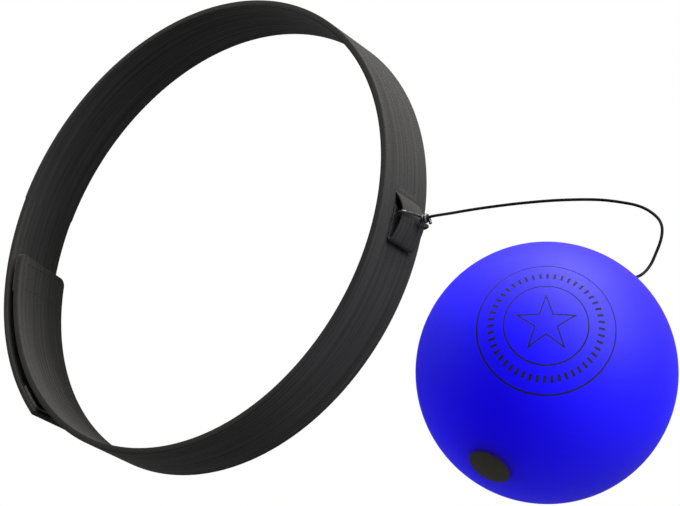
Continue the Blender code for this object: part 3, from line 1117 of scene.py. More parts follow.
@dataclass
class WebbingStrip:
    """A flat strip of webbing, laid out along X, that is bent along a guide."""

    name: str
    start: float
    end: float
    low: float
    width: float
    thickness: float
    step: float = 2.5 * MM
    slant: float = 0.0
    tip_reach: float = 1.0 * MM
    start_corners: Span = (0.0, 0.0)
    end_corners: Span = (0.0, 0.0)
    corner_reach: float = 0.1 * MM
    corner_steps: int = 6
    edge_round: float = 0.7 * MM
    edge_steps: int = 5
    edge_angle: float = math.radians(60)
    seam: float | None = None
    ribs: int = 0
    groove_half: float = 0.22 * MM
    groove_depth: float = 0.05 * MM

    def __post_init__(self) -> None:
        """Work out the strip's middle height and the heights of the grooves between its ribs."""
        self.middle = self.low + self.width / 2
        pitch = self.width / max(self.ribs, 1)
        self.grooves = [self.low + pitch * k for k in range(1, self.ribs)]

    def build(self, guide: bpy.types.Object) -> bpy.types.Object:
        """Model the strip flat and bend it along a guide.

        Args:
            guide: The guide curve.

        Returns:
            The strip.
        """
        strip = self.lay_flat()
        self.thicken(strip)
        wrap(strip, guide)
        smooth(strip)
        return strip

    def lay_flat(self) -> bpy.types.Object:
        """Model the strip flat: cut, round its corners and slice it for bending.

        Returns:
            The strip as one layer of faces.
        """
        deselect_all()
        place_flat = ((self.start + self.end) / 2, 0.0, self.middle)
        upright = (math.pi / 2, 0, 0)
        bpy.ops.mesh.primitive_plane_add(size=1.0, location=place_flat, rotation=upright)
        strip = bpy.context.object
        strip.name = self.name
        strip.scale = (self.end - self.start, self.width, 1.0)
        settle(strip)
        with editing(strip):
            if self.slant:
                self._slant_tip(strip)
            self._round(strip, self.start, self.start_corners)
            self._round(strip, self.end, self.end_corners)
            count = max(2, round((self.end - self.start) / self.step))
            slice_across(0, list(np.linspace(self.start, self.end, count + 1)[1:-1]))
            for shift in (-self.groove_half, 0.0, self.groove_half):
                slice_across(2, [groove + shift for groove in self.grooves])
        return strip

    def _slant_tip(self, strip: bpy.types.Object) -> None:
        """Lean the cut at the start, its upper corner ahead.

        Args:
            strip: The strip in edit mode.
        """
        near = self.start + self.tip_reach
        select_points(strip, lambda p: p.x < near and p.z > self.middle)
        bpy.ops.transform.translate(value=(-self.slant / 2, 0, 0))
        select_points(strip, lambda p: p.x < near and p.z < self.middle)
        bpy.ops.transform.translate(value=(self.slant / 2, 0, 0))

    def _round(self, strip: bpy.types.Object, end: float, radii: Span) -> None:
        """Round the lower and the upper corner of one end.

        Args:
            strip: The strip in edit mode.
            end: Where the end is along X.
            radii: The two corners' radii, 0 for a sharp one.
        """
        near = self.slant + self.corner_reach
        for radius, side in zip(radii, (-1, 1)):
            if radius:
                select_points(
                    strip, lambda p: abs(p.x - end) < near and (p.z - self.middle) * side > 0
                )
                bpy.ops.mesh.bevel(offset=radius, segments=self.corner_steps, affect="VERTICES")

    def thicken(self, strip: bpy.types.Object) -> None:
        """Give the strip its thickness, its soft edges and its grooves.

        Args:
            strip: The strip as one layer of faces.
        """
        solid = strip.modifiers.new("thickness", "SOLIDIFY")
        solid.thickness = self.thickness
        solid.offset = 0.0
        apply_modifiers(strip)
        if self.seam is not None:
            with editing(strip):
                select_points(strip, self._at_seam)
                bpy.ops.mesh.delete(type="ONLY_FACE")
        edge = strip.modifiers.new("soft_edges", "BEVEL")
        edge.width = self.edge_round
        edge.segments = self.edge_steps
        edge.limit_method = "ANGLE"
        edge.angle_limit = self.edge_angle
        apply_modifiers(strip)
        with editing(strip):
            for side in (-1, 1):
                select_points(strip, lambda p: p.y * side > 0 and self._in_groove(p))
                bpy.ops.transform.translate(value=(0, -side * self.groove_depth, 0))
            if self.seam is not None:
                select_points(strip, self._at_seam)
                bpy.ops.mesh.edge_face_add()

    def _in_groove(self, point: Vector) -> bool:
        """Whether a point lies in the middle of a groove."""
        return any(abs(point.z - groove) < NEAR for groove in self.grooves)

    def _at_seam(self, point: Vector) -> bool:
        """Whether a point lies in the cut that carries on in another strip."""
        return abs(point.x - self.seam) < NEAR


@dataclass
class StitchRow:
    """A row of short threads on one face of a strip, laid out flat."""

    first: Vector
    step: Vector
    count: int
    stitch: Vector
    thread: float = 0.22 * MM
    thread_sides: int = 8
    thread_rings: int = 6

    def lay(self, name: str) -> bpy.types.Object:
        """Model one stitch and repeat it along the row.

        Args:
            name: The row's name.

        Returns:
            The row as one mesh.
        """
        deselect_all()
        bpy.ops.mesh.primitive_uv_sphere_add(
            segments=self.thread_sides, ring_count=self.thread_rings, radius=0.5
        )
        row = bpy.context.object
        row.name = name
        row.rotation_euler = self.stitch.to_track_quat("Z", "Y").to_euler()
        row.scale = (self.thread, self.thread, self.stitch.length)
        row.location = self.first
        settle(row)
        repeat(row, self.count, self.step)
        apply_modifiers(row)
        return row


@dataclass
class HookPatch:
    """Hook tape sewn on one face of the strap: a backing and a field of small hooks."""

    name: str
    start: float
    length: float
    side: Side
    room: float
    line: StrapLine
    margin: float = 0.4 * MM
    backing: float = 0.9 * MM
    backing_step: float = 1.5 * MM
    backing_corner: float = 0.6 * MM
    backing_edge: float = 0.2 * MM
    hook_pitch: float = 1.0 * MM
    hook_wire: float = 0.16 * MM
    hook_sides: int = 6
    hook_sunk: float = 0.05 * MM
    first_hook: Span = (0.5, 0.6)
    stem_share: float = 0.6
    bends: tuple[Span, ...] = ((0.10, 0.22), (0.22, 0.14), (0.26, 0.02), (0.16, -0.16))
    bend_limit: float = 0.3
    top_share: float = 0.9
    set_in: float = 0.1 * MM

    def __post_init__(self) -> None:
        """Work out the tape's width and the hooks' height."""
        self.width = self.line.width - 2 * self.margin
        self.tall = self.room - self.backing - self.set_in

    def build(self) -> bpy.types.Object:
        """Model the patch flat and bend it along the strap.

        Returns:
            The patch.
        """
        patch = join(self.name, [self._backing(), self._hooks()])
        wrap(patch, self.line.guide)
        smooth(patch)
        return patch

    def _backing(self) -> bpy.types.Object:
        """The tape's backing on the strap's face.

        Returns:
            The backing, flat.
        """
        corners = (self.backing_corner, self.backing_corner)
        strip = WebbingStrip(
            self.name,
            self.start,
            self.start + self.length,
            self.margin,
            self.width,
            self.backing,
            step=self.backing_step,
            start_corners=corners,
            end_corners=corners,
            edge_round=self.backing_edge,
        )
        backing = strip.lay_flat()
        strip.thicken(backing)
        backing.location.y = self.line.face(self.side, self.backing / 2)
        settle(backing)
        return backing

    def _hook(self) -> bpy.types.Object:
        """The first hook of the field, a stem bent over at its top.

        Returns:
            The hook in its place on the backing.
        """
        stem = self.tall * self.stem_share
        deselect_all()
        bpy.ops.mesh.primitive_cylinder_add(
            vertices=self.hook_sides, radius=self.hook_wire, depth=stem
        )
        hook = bpy.context.object
        hook.name = f"{self.name}_hooks"
        hook.rotation_euler = (math.pi / 2, 0, 0)
        settle(hook)
        ahead = -self.side.value
        with editing(hook):
            select_points(hook, lambda p: p.y * ahead > stem / 2 * self.top_share)
            for lean, rise in self.bends:
                reach = min(lean * self.tall, self.hook_pitch * self.bend_limit)
                bpy.ops.mesh.extrude_region_move(
                    TRANSFORM_OT_translate={"value": (reach, ahead * rise * self.tall, 0)}
                )
        foot = self.line.face(self.side, self.backing - self.hook_sunk)
        along, up = (self.hook_pitch * share for share in self.first_hook)
        hook.location = (self.start + along, foot + ahead * stem / 2, self.margin + up)
        settle(hook)
        return hook

    def _hooks(self) -> bpy.types.Object:
        """The field of hooks that stand on the backing.

        Returns:
            The hooks as one mesh.
        """
        hook = self._hook()
        pitch = self.hook_pitch
        for size, step in ((self.length, (pitch, 0, 0)), (self.width, (0, 0, pitch))):
            repeat(hook, int((size - pitch) / pitch), step)
        apply_modifiers(hook)
        return hook


@dataclass
class HeadStrap:
    """The strap, its tongue, its hook patches and their stitches."""

    line: StrapLine
    seam_lead: float = 10.0 * MM
    bend_before: float = 8.0 * MM
    bend_after: float = 14.0 * MM
    tip_slant: float = 1.6 * MM
    tip_corners: Span = (2.2 * MM, 1.0 * MM)
    tongue_corners: Span = (0.6 * MM, 0.6 * MM)
    tongue_step: float = 1.6 * MM
    patch_length: float = 10.5 * MM
    patch_setback: float = 0.8 * MM
    stitch_length: float = 1.5 * MM
    stitch_pitch: float = 1.9 * MM
    stitch_inset: float = 1.0 * MM
    stitch_margin: float = 2.2 * MM
    stitch_lift: float = 0.02 * MM
    ribs: int = 14

    def build(self, groups: SharedGroups) -> None:
        """Model and dress the strap's pieces.

        Args:
            groups: The shared shader groups.
        """
        root = self.line.reach(self.line.root_turn)
        seam = root - self.seam_lead
        tip = self.line.reach(0.0)
        end = self.line.reach(self.line.full_turn)
        self._band(tip, seam, groups)
        self._tongue(seam, end, groups)
        self._patches(tip, end, groups)

    def _band(self, tip: float, seam: float, groups: SharedGroups) -> None:
        """The strap from its inner tip, once round, to the seam with the tongue.

        Args:
            tip: Where the inner tip is along the run.
            seam: Where the tongue carries on.
            groups: The shared shader groups.
        """
        strip = WebbingStrip(
            "strap_band",
            tip,
            seam,
            0.0,
            self.line.width,
            self.line.thickness,
            slant=self.tip_slant,
            start_corners=self.tip_corners,
            seam=seam,
            ribs=self.ribs,
        )
        band = strip.build(self.line.guide)
        finish = WebbingFinish("webbing_band", (seam - tip, self.line.width)).make(groups)
        place(band, Body.BAND, finish, ["band_strap"])

    def _tongue(self, seam: float, end: float, groups: SharedGroups) -> None:
        """The strap's outer end, modelled as it lies; the real one bends as the closure is peeled
        open.

        Args:
            seam: Where it carries on from the band.
            end: Where it ends along the run.
            groups: The shared shader groups.
        """
        strip = WebbingStrip(
            "strap_tongue",
            seam,
            end,
            0.0,
            self.line.width,
            self.line.thickness,
            step=self.tongue_step,
            end_corners=self.tongue_corners,
            seam=seam,
            ribs=self.ribs,
        )
        tongue = strip.build(self.line.guide)
        dress(tongue, WebbingFinish("webbing_tongue", (end - seam, self.line.width)).make(groups))
        start, stop = (
            self.line.point(
                self.line.root_turn + step / self.line.mid_radius, 0.0, self.line.width / 2
            )
            for step in (-self.bend_before, self.bend_after)
        )
        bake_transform(tongue)
        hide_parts("band_tongue")
        LOG.info("%s: %d faces, bending", tongue.name, len(tongue.data.polygons))

    def _patches(self, tip: float, end: float, groups: SharedGroups) -> None:
        """The hook patches at the strap's two ends, with their stitches.

        Args:
            tip: Where the inner tip is along the run.
            end: Where the tongue ends.
            groups: The shared shader groups.
        """
        tape = HookTapeFinish().make(groups)
        thread = ThreadFinish().make(groups)
        inner_start = tip + self.patch_setback
        outer_start = end - self.patch_setback - self.patch_length
        for name, start, side, room, body in (
            ("hook_tape_inner", inner_start, Side.OUTER, self.line.gap_at_tip, Body.BAND),
            ("hook_tape_outer", outer_start, Side.INNER, self.line.gap_at_end, Body.TONGUE),
        ):
            patch = HookPatch(name, start, self.patch_length, side, room, self.line).build()
            place(patch, body, tape, [name.replace("tape", "patch")])
            seam = self._patch_stitches(f"{name}_stitches", start, Side(-side.value))
            place(seam, body, thread)

    def _patch_stitches(self, name: str, start: float, side: Side) -> bpy.types.Object:
        """A box of stitches that holds a patch, on the strap's other face.

        Args:
            name: The piece's name.
            start: Where the patch starts along the strap.
            side: The face that the stitches show on.

        Returns:
            The stitches.
        """
        face = self.line.face(side, self.stitch_lift)
        inset, pitch, stitch = self.stitch_inset, self.stitch_pitch, self.stitch_length
        low, high = self.stitch_margin, self.line.width - self.stitch_margin
        rows = []
        across = int((high - low) / pitch)
        for x in (start + inset, start + self.patch_length - inset):
            first = Vector((x, face, low + pitch / 2))
            rows.append(StitchRow(first, Vector((0, 0, pitch)), across, Vector((0, 0, stitch))))
        along = int((self.patch_length - 2 * inset) / pitch)
        for z in (low, high):
            first = Vector((start + inset + pitch / 2, face, z))
            rows.append(StitchRow(first, Vector((pitch, 0, 0)), along, Vector((stitch, 0, 0))))
        seam = join(name, [row.lay(f"{name}_{i}") for i, row in enumerate(rows)])
        wrap(seam, self.line.guide)
        smooth(seam)
        return seam


# Cord tab


@dataclass
class CordTab:
    """The folded loop of webbing that the cord is tied to."""

    line: StrapLine
    width: float = 10.4 * MM
    thickness: float = 0.8 * MM
    crest: float = 3.9 * MM
    mid_height: float = 9.3 * MM
    foot: float = 2.6 * MM
    rise: float = 7.0 * MM
    fall: float = 6.6 * MM
    rise_power: float = 0.9
    fall_power: float = 1.7
    base_past_crest: float = 3.0 * MM
    seat_gap: float = 0.3 * MM
    tape: float = 0.6 * MM
    tape_edge: float = 0.22 * MM
    sewn_height: float = -0.16 * MM
    step: float = 0.25 * MM
    foot_points: int = 9
    slope_points: int = 40
    fold_points: int = 17
    base_points: int = 25
    rib_pitch: float = 1.1 * MM
    pick_pitch: float = 0.8 * MM
    tack_pitch: float = 0.42 * MM
    tack_margin: float = 0.8 * MM
    tack_sunk: float = 0.05 * MM
    tack_stitch: Triple = (1.5 * MM, 0.0, 0.12 * MM)

    def __post_init__(self) -> None:
        """Work out the heights of the tab's layers above the strap."""
        self.base_height = self.seat_gap + self.thickness / 2
        self.fold_height = self.base_height + self.thickness + self.seat_gap
        self.crest_mid = self.crest - self.thickness / 2
        self.pivot_height = (self.base_height + self.crest_mid) / 2

    def point(self, along: float, height: float, z: float = 0.0) -> Vector:
        """A point of the tab.

        Args:
            along: Distance along the strap from the crest.
            height: Height above the strap's outside.
            z: Height above the strap's lower edge.

        Returns:
            The point.
        """
        angle = along / self.line.outer_radius
        radius = self.line.outer_radius + height
        return self.line.centre + Vector((radius * math.sin(angle), -radius * math.cos(angle), z))

    def middle_line(self) -> list[Span]:
        """The webbing's middle line: pressed foot, crest, fold and base.

        Returns:
            Its points, as (along, height).
        """
        base, sewn = self.tape / 2, self.sewn_height
        slope_shares = np.linspace(0, 1, self.slope_points)[:-1]
        foot_shares = np.linspace(0, 1, self.foot_points)[:-1]
        line = [(self.rise + self.foot * (1 - t), sewn) for t in foot_shares]
        for t in slope_shares:
            bulge = math.sin(math.pi / 2 * t**self.rise_power)
            line.append((self.rise * (1 - t), sewn + (self.crest_mid - sewn) * bulge))
        down = self.crest_mid - self.fold_height
        for t in slope_shares:
            line.append((-self.fall * t, self.crest_mid - down * t**self.fall_power))
        slope = math.atan(down * self.fall_power / self.fall)
        fold = (self.fold_height - base) / (1 + math.cos(slope))
        fold_at = fold * math.sin(slope) - self.fall
        for turn in np.linspace(math.pi / 2 + slope, 1.5 * math.pi, self.fold_points):
            line.append((fold_at + fold * math.cos(turn), base + fold + fold * math.sin(turn)))
        for t in np.linspace(0, 1, self.base_points)[1:]:
            line.append((fold_at + (self.base_past_crest - fold_at) * t, base))
        return line

    def build(self, groups: SharedGroups) -> None:
        """Model and dress the tab and its stitches.

        Args:
            groups: The shared shader groups.
        """
        points = [self.point(*pair) for pair in self.middle_line()]
        length = float(np.cumsum(step_lengths(points))[-1])
        guide = point_curve("tab_guide", points, Twist.UPRIGHT)
        strip = WebbingStrip(
            "cord_tab_loop",
            0.0,
            length,
            self.mid_height - self.width / 2,
            self.width,
            self.tape,
            step=self.step,
            edge_round=self.tape_edge,
        )
        tab = strip.build(guide)
        finish = WebbingFinish(
            "webbing_tab",
            (length, self.width),
            rib_pitch=self.rib_pitch,
            pick_pitch=self.pick_pitch,
        )
        place(tab, Body.BAND, finish.make(groups), ["cord_tab"])
        bar = self._bar_tack(guide)
        place(bar, Body.BAND, ThreadFinish("tab_thread_black").make(groups))
        bpy.data.objects.remove(guide)

    def _bar_tack(self, guide: bpy.types.Object) -> bpy.types.Object:
        """The dense bar of stitches across the tab's foot.

        Args:
            guide: The tab's guide curve.

        Returns:
            The stitches.
        """
        count = int((self.width - 2 * self.tack_margin) / self.tack_pitch)
        low = self.mid_height - self.tack_pitch * (count - 1) / 2
        first = Vector((self.foot / 2, self.tape / 2 - self.tack_sunk, low))
        row = StitchRow(first, Vector((0, 0, self.tack_pitch)), count, Vector(self.tack_stitch))
        bar = row.lay("cord_tab_stitches")
        wrap(bar, guide)
        smooth(bar)
        return bar


# Cord and knots


@dataclass
class CordRun:
    """The elastic cord: its hitch on the tab, its free run and its stopper in the ball.

    The laid points are in millimetres from the tab's foot, as the cord lies.
    """

    tab: CordTab
    ball: "ReflexBall"
    diameter: float = 0.8 * MM
    sides: int = 12
    knot_swell: float = 0.06 * MM
    knot_gloss: Span = (0.36, 0.48)
    knot_shine: float = 0.85
    turns: float = 2.25
    turn_pitch: float = 0.84 * MM
    turn_radius: float = 0.88 * MM
    end_turn_gap: float = 0.5 * MM
    drop: float = 1.4 * MM
    slack: float = 0.32 * MM
    edge_bulge: float = 0.6
    reach: float = 3.45 * MM
    core_end: float = 5.9 * MM
    tail: float = 1.5 * MM
    bend: float = 1.1 * MM
    yaw: float = math.radians(14.0)
    leave: float = 1.2 * MM
    entry_lead: float = 2.4 * MM
    step: float = 0.9 * MM
    strand_step: float = 0.4 * MM
    strand_lean: float = 0.7
    bending: float = 9.0 * MM
    loop_points: int = 40
    core_points: int = 8
    bend_points: int = 9
    edge_points: int = 17
    tail_points: int = 6
    stopper_turns: float = 1.5
    stopper_crown: float = 0.5 * MM
    laid: tuple[Triple, ...] = (
        (3.4, -13.2, 4.9),
        (4.8, -17.0, 2.9),
        (6.1, -22.4, 1.1),
        (7.0, -32.0, 0.15),
        (7.1, -44.5, 0.1),
        (6.4, -57.0, 0.1),
        (4.9, -65.9, 0.1),
        (3.5, -71.0, 0.1),
        (1.55, -74.8, 0.1),
        (-0.8, -77.6, 0.1),
        (-3.4, -78.9, 0.1),
        (-6.6, -79.0, 0.1),
        (-10.0, -78.2, 0.1),
        (-13.6, -77.3, 0.5),
        (-17.0, -76.7, 2.8),
        (-19.6, -76.2, 6.8),
        (-21.4, -75.8, 11.8),
    )

    def __post_init__(self) -> None:
        """Work out the knot's sizes."""
        self.radius = self.diameter / 2
        self.knot_radius = self.radius + self.knot_swell
        self.depth = self.tab.crest - self.tab.pivot_height + self.slack + self.radius
        self.end_turn = self.diameter + self.end_turn_gap
        self.height = self.tab.mid_height - self.drop
        self.pivot = self.tab.point(0.0, self.tab.pivot_height)

    def point(self, sideways: float, outward: float, z: float) -> Vector:
        """A point of the hitch, turned to face the cord's pull.

        Args:
            sideways: Distance across the pull.
            outward: Distance along the pull.
            z: Height above the strap's lower edge.

        Returns:
            The point.
        """
        cos, sin = math.cos(self.yaw), math.sin(self.yaw)
        across, ahead = sideways * cos + outward * sin, sideways * sin - outward * cos
        return self.pivot + Vector((across, ahead, z))

    def pull(self) -> Vector:
        """The direction in which the cord leaves the knot."""
        return Vector((math.sin(self.yaw), -math.cos(self.yaw), 0.0))

    def build(self, groups: SharedGroups) -> None:
        """Model and dress the cord's three pieces.

        Args:
            groups: The shared shader groups.
        """
        knot = cord_tube("cord_knot", self.hitch_points(), self.knot_radius, self.sides)
        knot_finish = CordFinish("cord_black_knot", gloss=self.knot_gloss, shine=self.knot_shine)
        place(knot, Body.HITCH, knot_finish.make(groups), ["cord_hitch"])
        stopper = cord_tube("cord_end_knot", self.stopper_points(), self.knot_radius, self.sides)
        stopper_finish = CordFinish("cord_black_end")
        place(stopper, Body.TETHER, stopper_finish.make(groups), ["cord_stopper"])
        route = self.free_points()
        cord = cord_tube("cord_free", route, self.radius, self.sides)
        dress(cord, CordFinish("cord_black_free").make(groups))
        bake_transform(cord)
        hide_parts("tether_cord")

    def _wound(self, turns: float, start: float, radius: float, pitch: float) -> list[Triple]:
        """A winding about an axis, as (sideways, along, upward) from its start.

        Args:
            turns: How many turns.
            start: Angle of its first point.
            radius: Radius of its middle line.
            pitch: Climb in one turn.

        Returns:
            The winding's points.
        """
        points = []
        for k in range(round(turns * self.loop_points) + 1):
            share = k / self.loop_points
            turn = start - 2 * math.pi * share
            points.append((radius * math.cos(turn), pitch * share, radius * math.sin(turn)))
        return points

    def _loop_plane(self, bottom: float, top: float) -> list[Span]:
        """The core and the loop round the tab, which lie in one upright plane.

        Args:
            bottom: Height of the tab's lower edge.
            top: Height of its upper edge.

        Returns:
            The points, as (outward, height).
        """
        half = self.depth / 2
        bulge = half * self.edge_bulge
        core = self.depth + self.bend
        plane = []
        for share in np.linspace(0, 1, self.core_points):
            plane.append((self.core_end + (core - self.core_end) * share, self.height))
        for turn in np.linspace(math.pi / 2, math.pi, self.bend_points)[1:]:
            outward = core + self.bend * math.cos(turn)
            plane.append((outward, self.height - self.bend + self.bend * math.sin(turn)))
        for turn in np.linspace(0, -math.pi, self.edge_points):
            plane.append((half + half * math.cos(turn), bottom + bulge * math.sin(turn)))
        for share in np.linspace(0, 1, self.bend_points)[1:-1]:
            plane.append((0.0, bottom + (top - bottom) * share))
        for turn in np.linspace(math.pi, 0, self.edge_points):
            plane.append((half + half * math.cos(turn), top + bulge * math.sin(turn)))
        return plane

    def hitch_points(self) -> list[Vector]:
        """Middle line of the loop round the tab and the winding on the cord.

        Returns:
            The points, from the core's end to the tail's.
        """
        top = self.tab.mid_height + self.tab.width / 2
        bottom = self.tab.mid_height - self.tab.width / 2
        points = [self.point(0.0, outward, z) for outward, z in self._loop_plane(bottom, top)]
        strand = [
            (0.0, self.depth, top),
            (self.turn_radius / 8, self.depth + self.radius / 4, top - self.diameter),
            (
                self.turn_radius * self.strand_lean,
                (self.depth + self.reach) / 2,
                (top + self.height) / 2,
            ),
            (self.turn_radius, self.reach - self.radius / 4, self.height + self.diameter),
            (self.turn_radius, self.reach, self.height),
        ]
        points += smooth_route([self.point(*spot) for spot in strand], self.strand_step)[1:-1]
        winding = self._wound(self.turns, 0.0, self.turn_radius, self.turn_pitch)
        for sideways, along, upward in winding:
            points.append(self.point(sideways, self.reach + along, self.height + upward))
        last = points[-1]
        ahead = (last - points[-2]).normalized()
        for share in np.linspace(0, 1, self.tail_points)[1:]:
            points.append(last + ahead * self.tail * share)
        return points

    def stopper_points(self) -> list[Vector]:
        """Middle line of the knot that holds the cord behind its washer.

        Returns:
            The points, from the washer to the cord's end.
        """
        gap = self.ball.seat_gap
        base = self.ball.washer_top + 2 * gap
        top = self.ball.washer_top + gap + self.radius + self.stopper_turns * self.end_turn
        points = []
        for share in np.linspace(0, 1, self.tail_points):
            points.append(Vector((0, 0, base + (top - base) * share)))
        half = self.loop_points // 2
        for k in range(1, half):
            turn = math.pi * k / half
            swell = self.end_turn * math.sin(turn / 2)
            rise = self.stopper_crown * math.sin(turn)
            points.append(Vector((swell * math.cos(turn), -swell * math.sin(turn), top + rise)))
        winding = self._wound(self.stopper_turns, -math.pi, self.end_turn, self.end_turn)
        for sideways, along, upward in winding:
            points.append(Vector((sideways, upward, top - along)))
        points.append(points[-1] + (points[-1] - points[-2]).normalized() * self.diameter)
        return [self.ball.placed(point) for point in points]

    def free_points(self) -> list[Vector]:
        """Middle line of the cord from the knot, over the surface and into the ball.

        Returns:
            The points, from the knot to the washer.
        """
        start = self.point(0.0, self.core_end, self.height)
        entry = self.ball.placed(Vector((0, 0, -self.ball.radius)))
        inner = self.ball.placed(Vector((0, 0, self.ball.washer_top + self.ball.seat_gap)))
        foot = self.tab.point(0.0, 0.0, self.radius)
        route = [start, start + self.pull() * self.leave]
        route += [foot + Vector(point) * MM for point in self.laid]
        route += [entry - self.ball.axis * self.entry_lead, entry]
        points = smooth_route(route, self.step)
        inside = round((inner - entry).length / (2 * self.step))
        return points + [entry.lerp(inner, k / inside) for k in range(1, inside + 1)]


# Ball


@dataclass
class ReflexBall:
    """The foam ball with its bore, its plug and its printed emblem."""

    radius: float = 32.25 * MM
    centre: Vector = field(default_factory=lambda: Vector((-46.763, -92.265, 32.25)) * MM)
    axis: Vector = field(default_factory=lambda: Vector((-0.9015, 0.0650, 0.4280)).normalized())
    stamp_normal: Vector = field(
        default_factory=lambda: Vector((0.0731, -0.5229, 0.8492)).normalized()
    )
    stamp_up: Vector = field(default_factory=lambda: Vector((0.929, -0.050, 0.366)))
    bore_radius: float = 0.75 * MM
    plug_radius: float = 5.36 * MM
    plug_gap: float = 0.05 * MM
    plug_length: float = 3.4 * MM
    rim_land: float = 0.3 * MM
    rim_round: float = 0.04 * MM
    rim_steps: int = 2
    socket_depth: float = 8.75 * MM
    washer_thickness: float = 1.2 * MM
    seat_gap: float = 0.3 * MM
    weld: float = 0.02 * MM
    segments: int = 128

    def __post_init__(self) -> None:
        """Work out the socket's levels along the bore."""
        self.socket_radius = self.plug_radius + self.plug_gap
        self.socket_floor = self.radius - self.socket_depth
        self.washer_top = self.socket_floor + self.seat_gap + self.washer_thickness
        self.turn = self.axis.to_track_quat("Z", "Y")

    def placed(self, point: Vector) -> Vector:
        """Where a point of the ball's own frame, with the bore along Z, lies."""
        return self.centre + self.turn @ point

    def level(self, across: float) -> float:
        """Height of the ball's surface at a distance from the bore's axis."""
        return math.sqrt(self.radius**2 - across**2)

    def stamp_axes(self) -> Matrix:
        """The emblem's axes as a rotation.

        Returns:
            The rotation: across, up and out of the ball.
        """
        up = self.stamp_up - self.stamp_normal * self.stamp_up.dot(self.stamp_normal)
        up.normalize()
        across = up.cross(self.stamp_normal)
        return Matrix((across, up, self.stamp_normal)).transposed()

    def build(self, groups: SharedGroups) -> None:
        """Model and dress the ball, its plug and its washer.

        Args:
            groups: The shared shader groups.
        """
        shell = self._shell()
        foam = FoamFinish(self.centre, self.stamp_axes()).make(groups)
        place(shell, Body.BALL, foam, ["foam_ball"])
        plug = self._plug()
        place(plug, Body.BALL, PlugFinish().make(groups), ["ball_plug"])
        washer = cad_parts["retaining_washer"]
        dress(washer, WasherFinish().make(groups))
        LOG.info("%s: as packed, dressed", washer.name)

    def _sphere(self, name: str) -> bpy.types.Object:
        """A full ball in its own frame, to be cut.

        Args:
            name: The piece's name.

        Returns:
            The ball.
        """
        deselect_all()
        bpy.ops.mesh.primitive_uv_sphere_add(
            segments=self.segments, ring_count=self.segments, radius=self.radius
        )
        ball = bpy.context.object
        ball.name = name
        return ball

    def _cut(self, level: float, keep: Keep = Keep.BOTH) -> None:
        """Cut the edited ball square to the bore, and select the cut.

        Args:
            level: Where the cut is along the bore.
            keep: Which side of it stays.
        """
        bpy.ops.mesh.select_all(action="SELECT")
        bpy.ops.mesh.bisect(
            plane_co=(0, 0, level),
            plane_no=(0, 0, 1),
            clear_inner=keep is Keep.ABOVE,
            clear_outer=keep is Keep.BELOW,
            threshold=FINE,
        )

    def _pull_out(self, distance: float) -> None:
        """Extrude what is selected along the bore."""
        bpy.ops.mesh.extrude_region_move(TRANSFORM_OT_translate={"value": (0, 0, distance)})

    def _soften_rim(self, piece: bpy.types.Object, level: float, radius: float) -> None:
        """Round the edge between the ball's curve and a straight wall.

        Args:
            piece: The edited piece.
            level: The rim's height along the bore.
            radius: The rim's radius, with some room.
        """
        select_points(piece, lambda p: abs(p.z - level) < NEAR and p.xy.length < radius)
        bpy.ops.mesh.bevel(offset=self.rim_round, segments=self.rim_steps, affect="EDGES")

    def _seat(self, piece: bpy.types.Object) -> None:
        """Turn a piece from the ball's own frame to its place and shade it.

        Args:
            piece: The finished piece.
        """
        piece.rotation_mode = "QUATERNION"
        piece.rotation_quaternion = self.turn
        piece.location = self.centre
        settle(piece)
        piece.rotation_mode = "XYZ"
        smooth(piece)

    def _shell(self) -> bpy.types.Object:
        """The ball, opened for the plug's socket and bored through for the cord.

        Returns:
            The ball in its place.
        """
        shell = self._sphere("foam_ball_skin")
        bore_level = -self.level(self.bore_radius)
        socket_level = self.level(self.socket_radius)
        with editing(shell):
            self._cut(bore_level, Keep.ABOVE)
            self._cut(self.level(self.socket_radius + self.rim_land))
            self._cut(socket_level, Keep.BELOW)
            self._pull_out(self.socket_floor - socket_level)
            self._pull_out(0.0)
            share = self.bore_radius / self.socket_radius
            centre = (0, 0, self.socket_floor)
            bpy.ops.transform.resize(value=(share, share, 1), center_override=centre)
            self._pull_out(bore_level - self.socket_floor)
            bpy.ops.mesh.select_all(action="SELECT")
            bpy.ops.mesh.remove_doubles(threshold=self.weld)
            bpy.ops.mesh.normals_make_consistent(inside=False)
            self._soften_rim(shell, socket_level, self.socket_radius + self.plug_gap)
        self._seat(shell)
        return shell

    def _plug(self) -> bpy.types.Object:
        """The plug, with a face that carries on the ball's curve.

        Returns:
            The plug in its place.
        """
        plug = self._sphere("ball_plug_cap")
        rim = self.level(self.plug_radius)
        with editing(plug):
            self._cut(self.level(self.plug_radius - self.rim_land))
            self._cut(rim, Keep.ABOVE)
            self._pull_out(self.radius - self.plug_length - rim)
            bpy.ops.mesh.edge_face_add()
            bpy.ops.mesh.select_all(action="SELECT")
            bpy.ops.mesh.normals_make_consistent(inside=False)
            self._soften_rim(plug, rim, self.plug_radius + self.plug_gap)
        self._seat(plug)
        return plug


# Stage


@dataclass(frozen=True)
class SoftLight:
    """One soft studio light, aimed at the object, with its direction in degrees."""

    name: str
    azimuth: float
    elevation: float
    size: Span
    power: float
    colour: Colour = WHITE
    distance: float = 1.4
    mirrored: bool = True

    def build(self, target: Vector) -> None:
        """Add the light.

        Args:
            target: The point that it faces.
        """
        data = bpy.data.lights.new(self.name, "AREA")
        data.shape = "RECTANGLE"
        data.size, data.size_y = self.size
        data.energy = self.power
        data.color = self.colour
        lamp = bpy.data.objects.new(self.name, data)
        lamp.visible_camera = False
        lamp.visible_glossy = self.mirrored
        turn, lift = math.radians(self.azimuth), math.radians(self.elevation)
        level, rise = math.cos(lift), math.sin(lift)
        direction = Vector((level * math.cos(turn), level * math.sin(turn), rise))
        lamp.location = target + direction * self.distance
        lamp.rotation_euler = direction.to_track_quat("Z", "Y").to_euler()
        bpy.context.collection.objects.link(lamp)


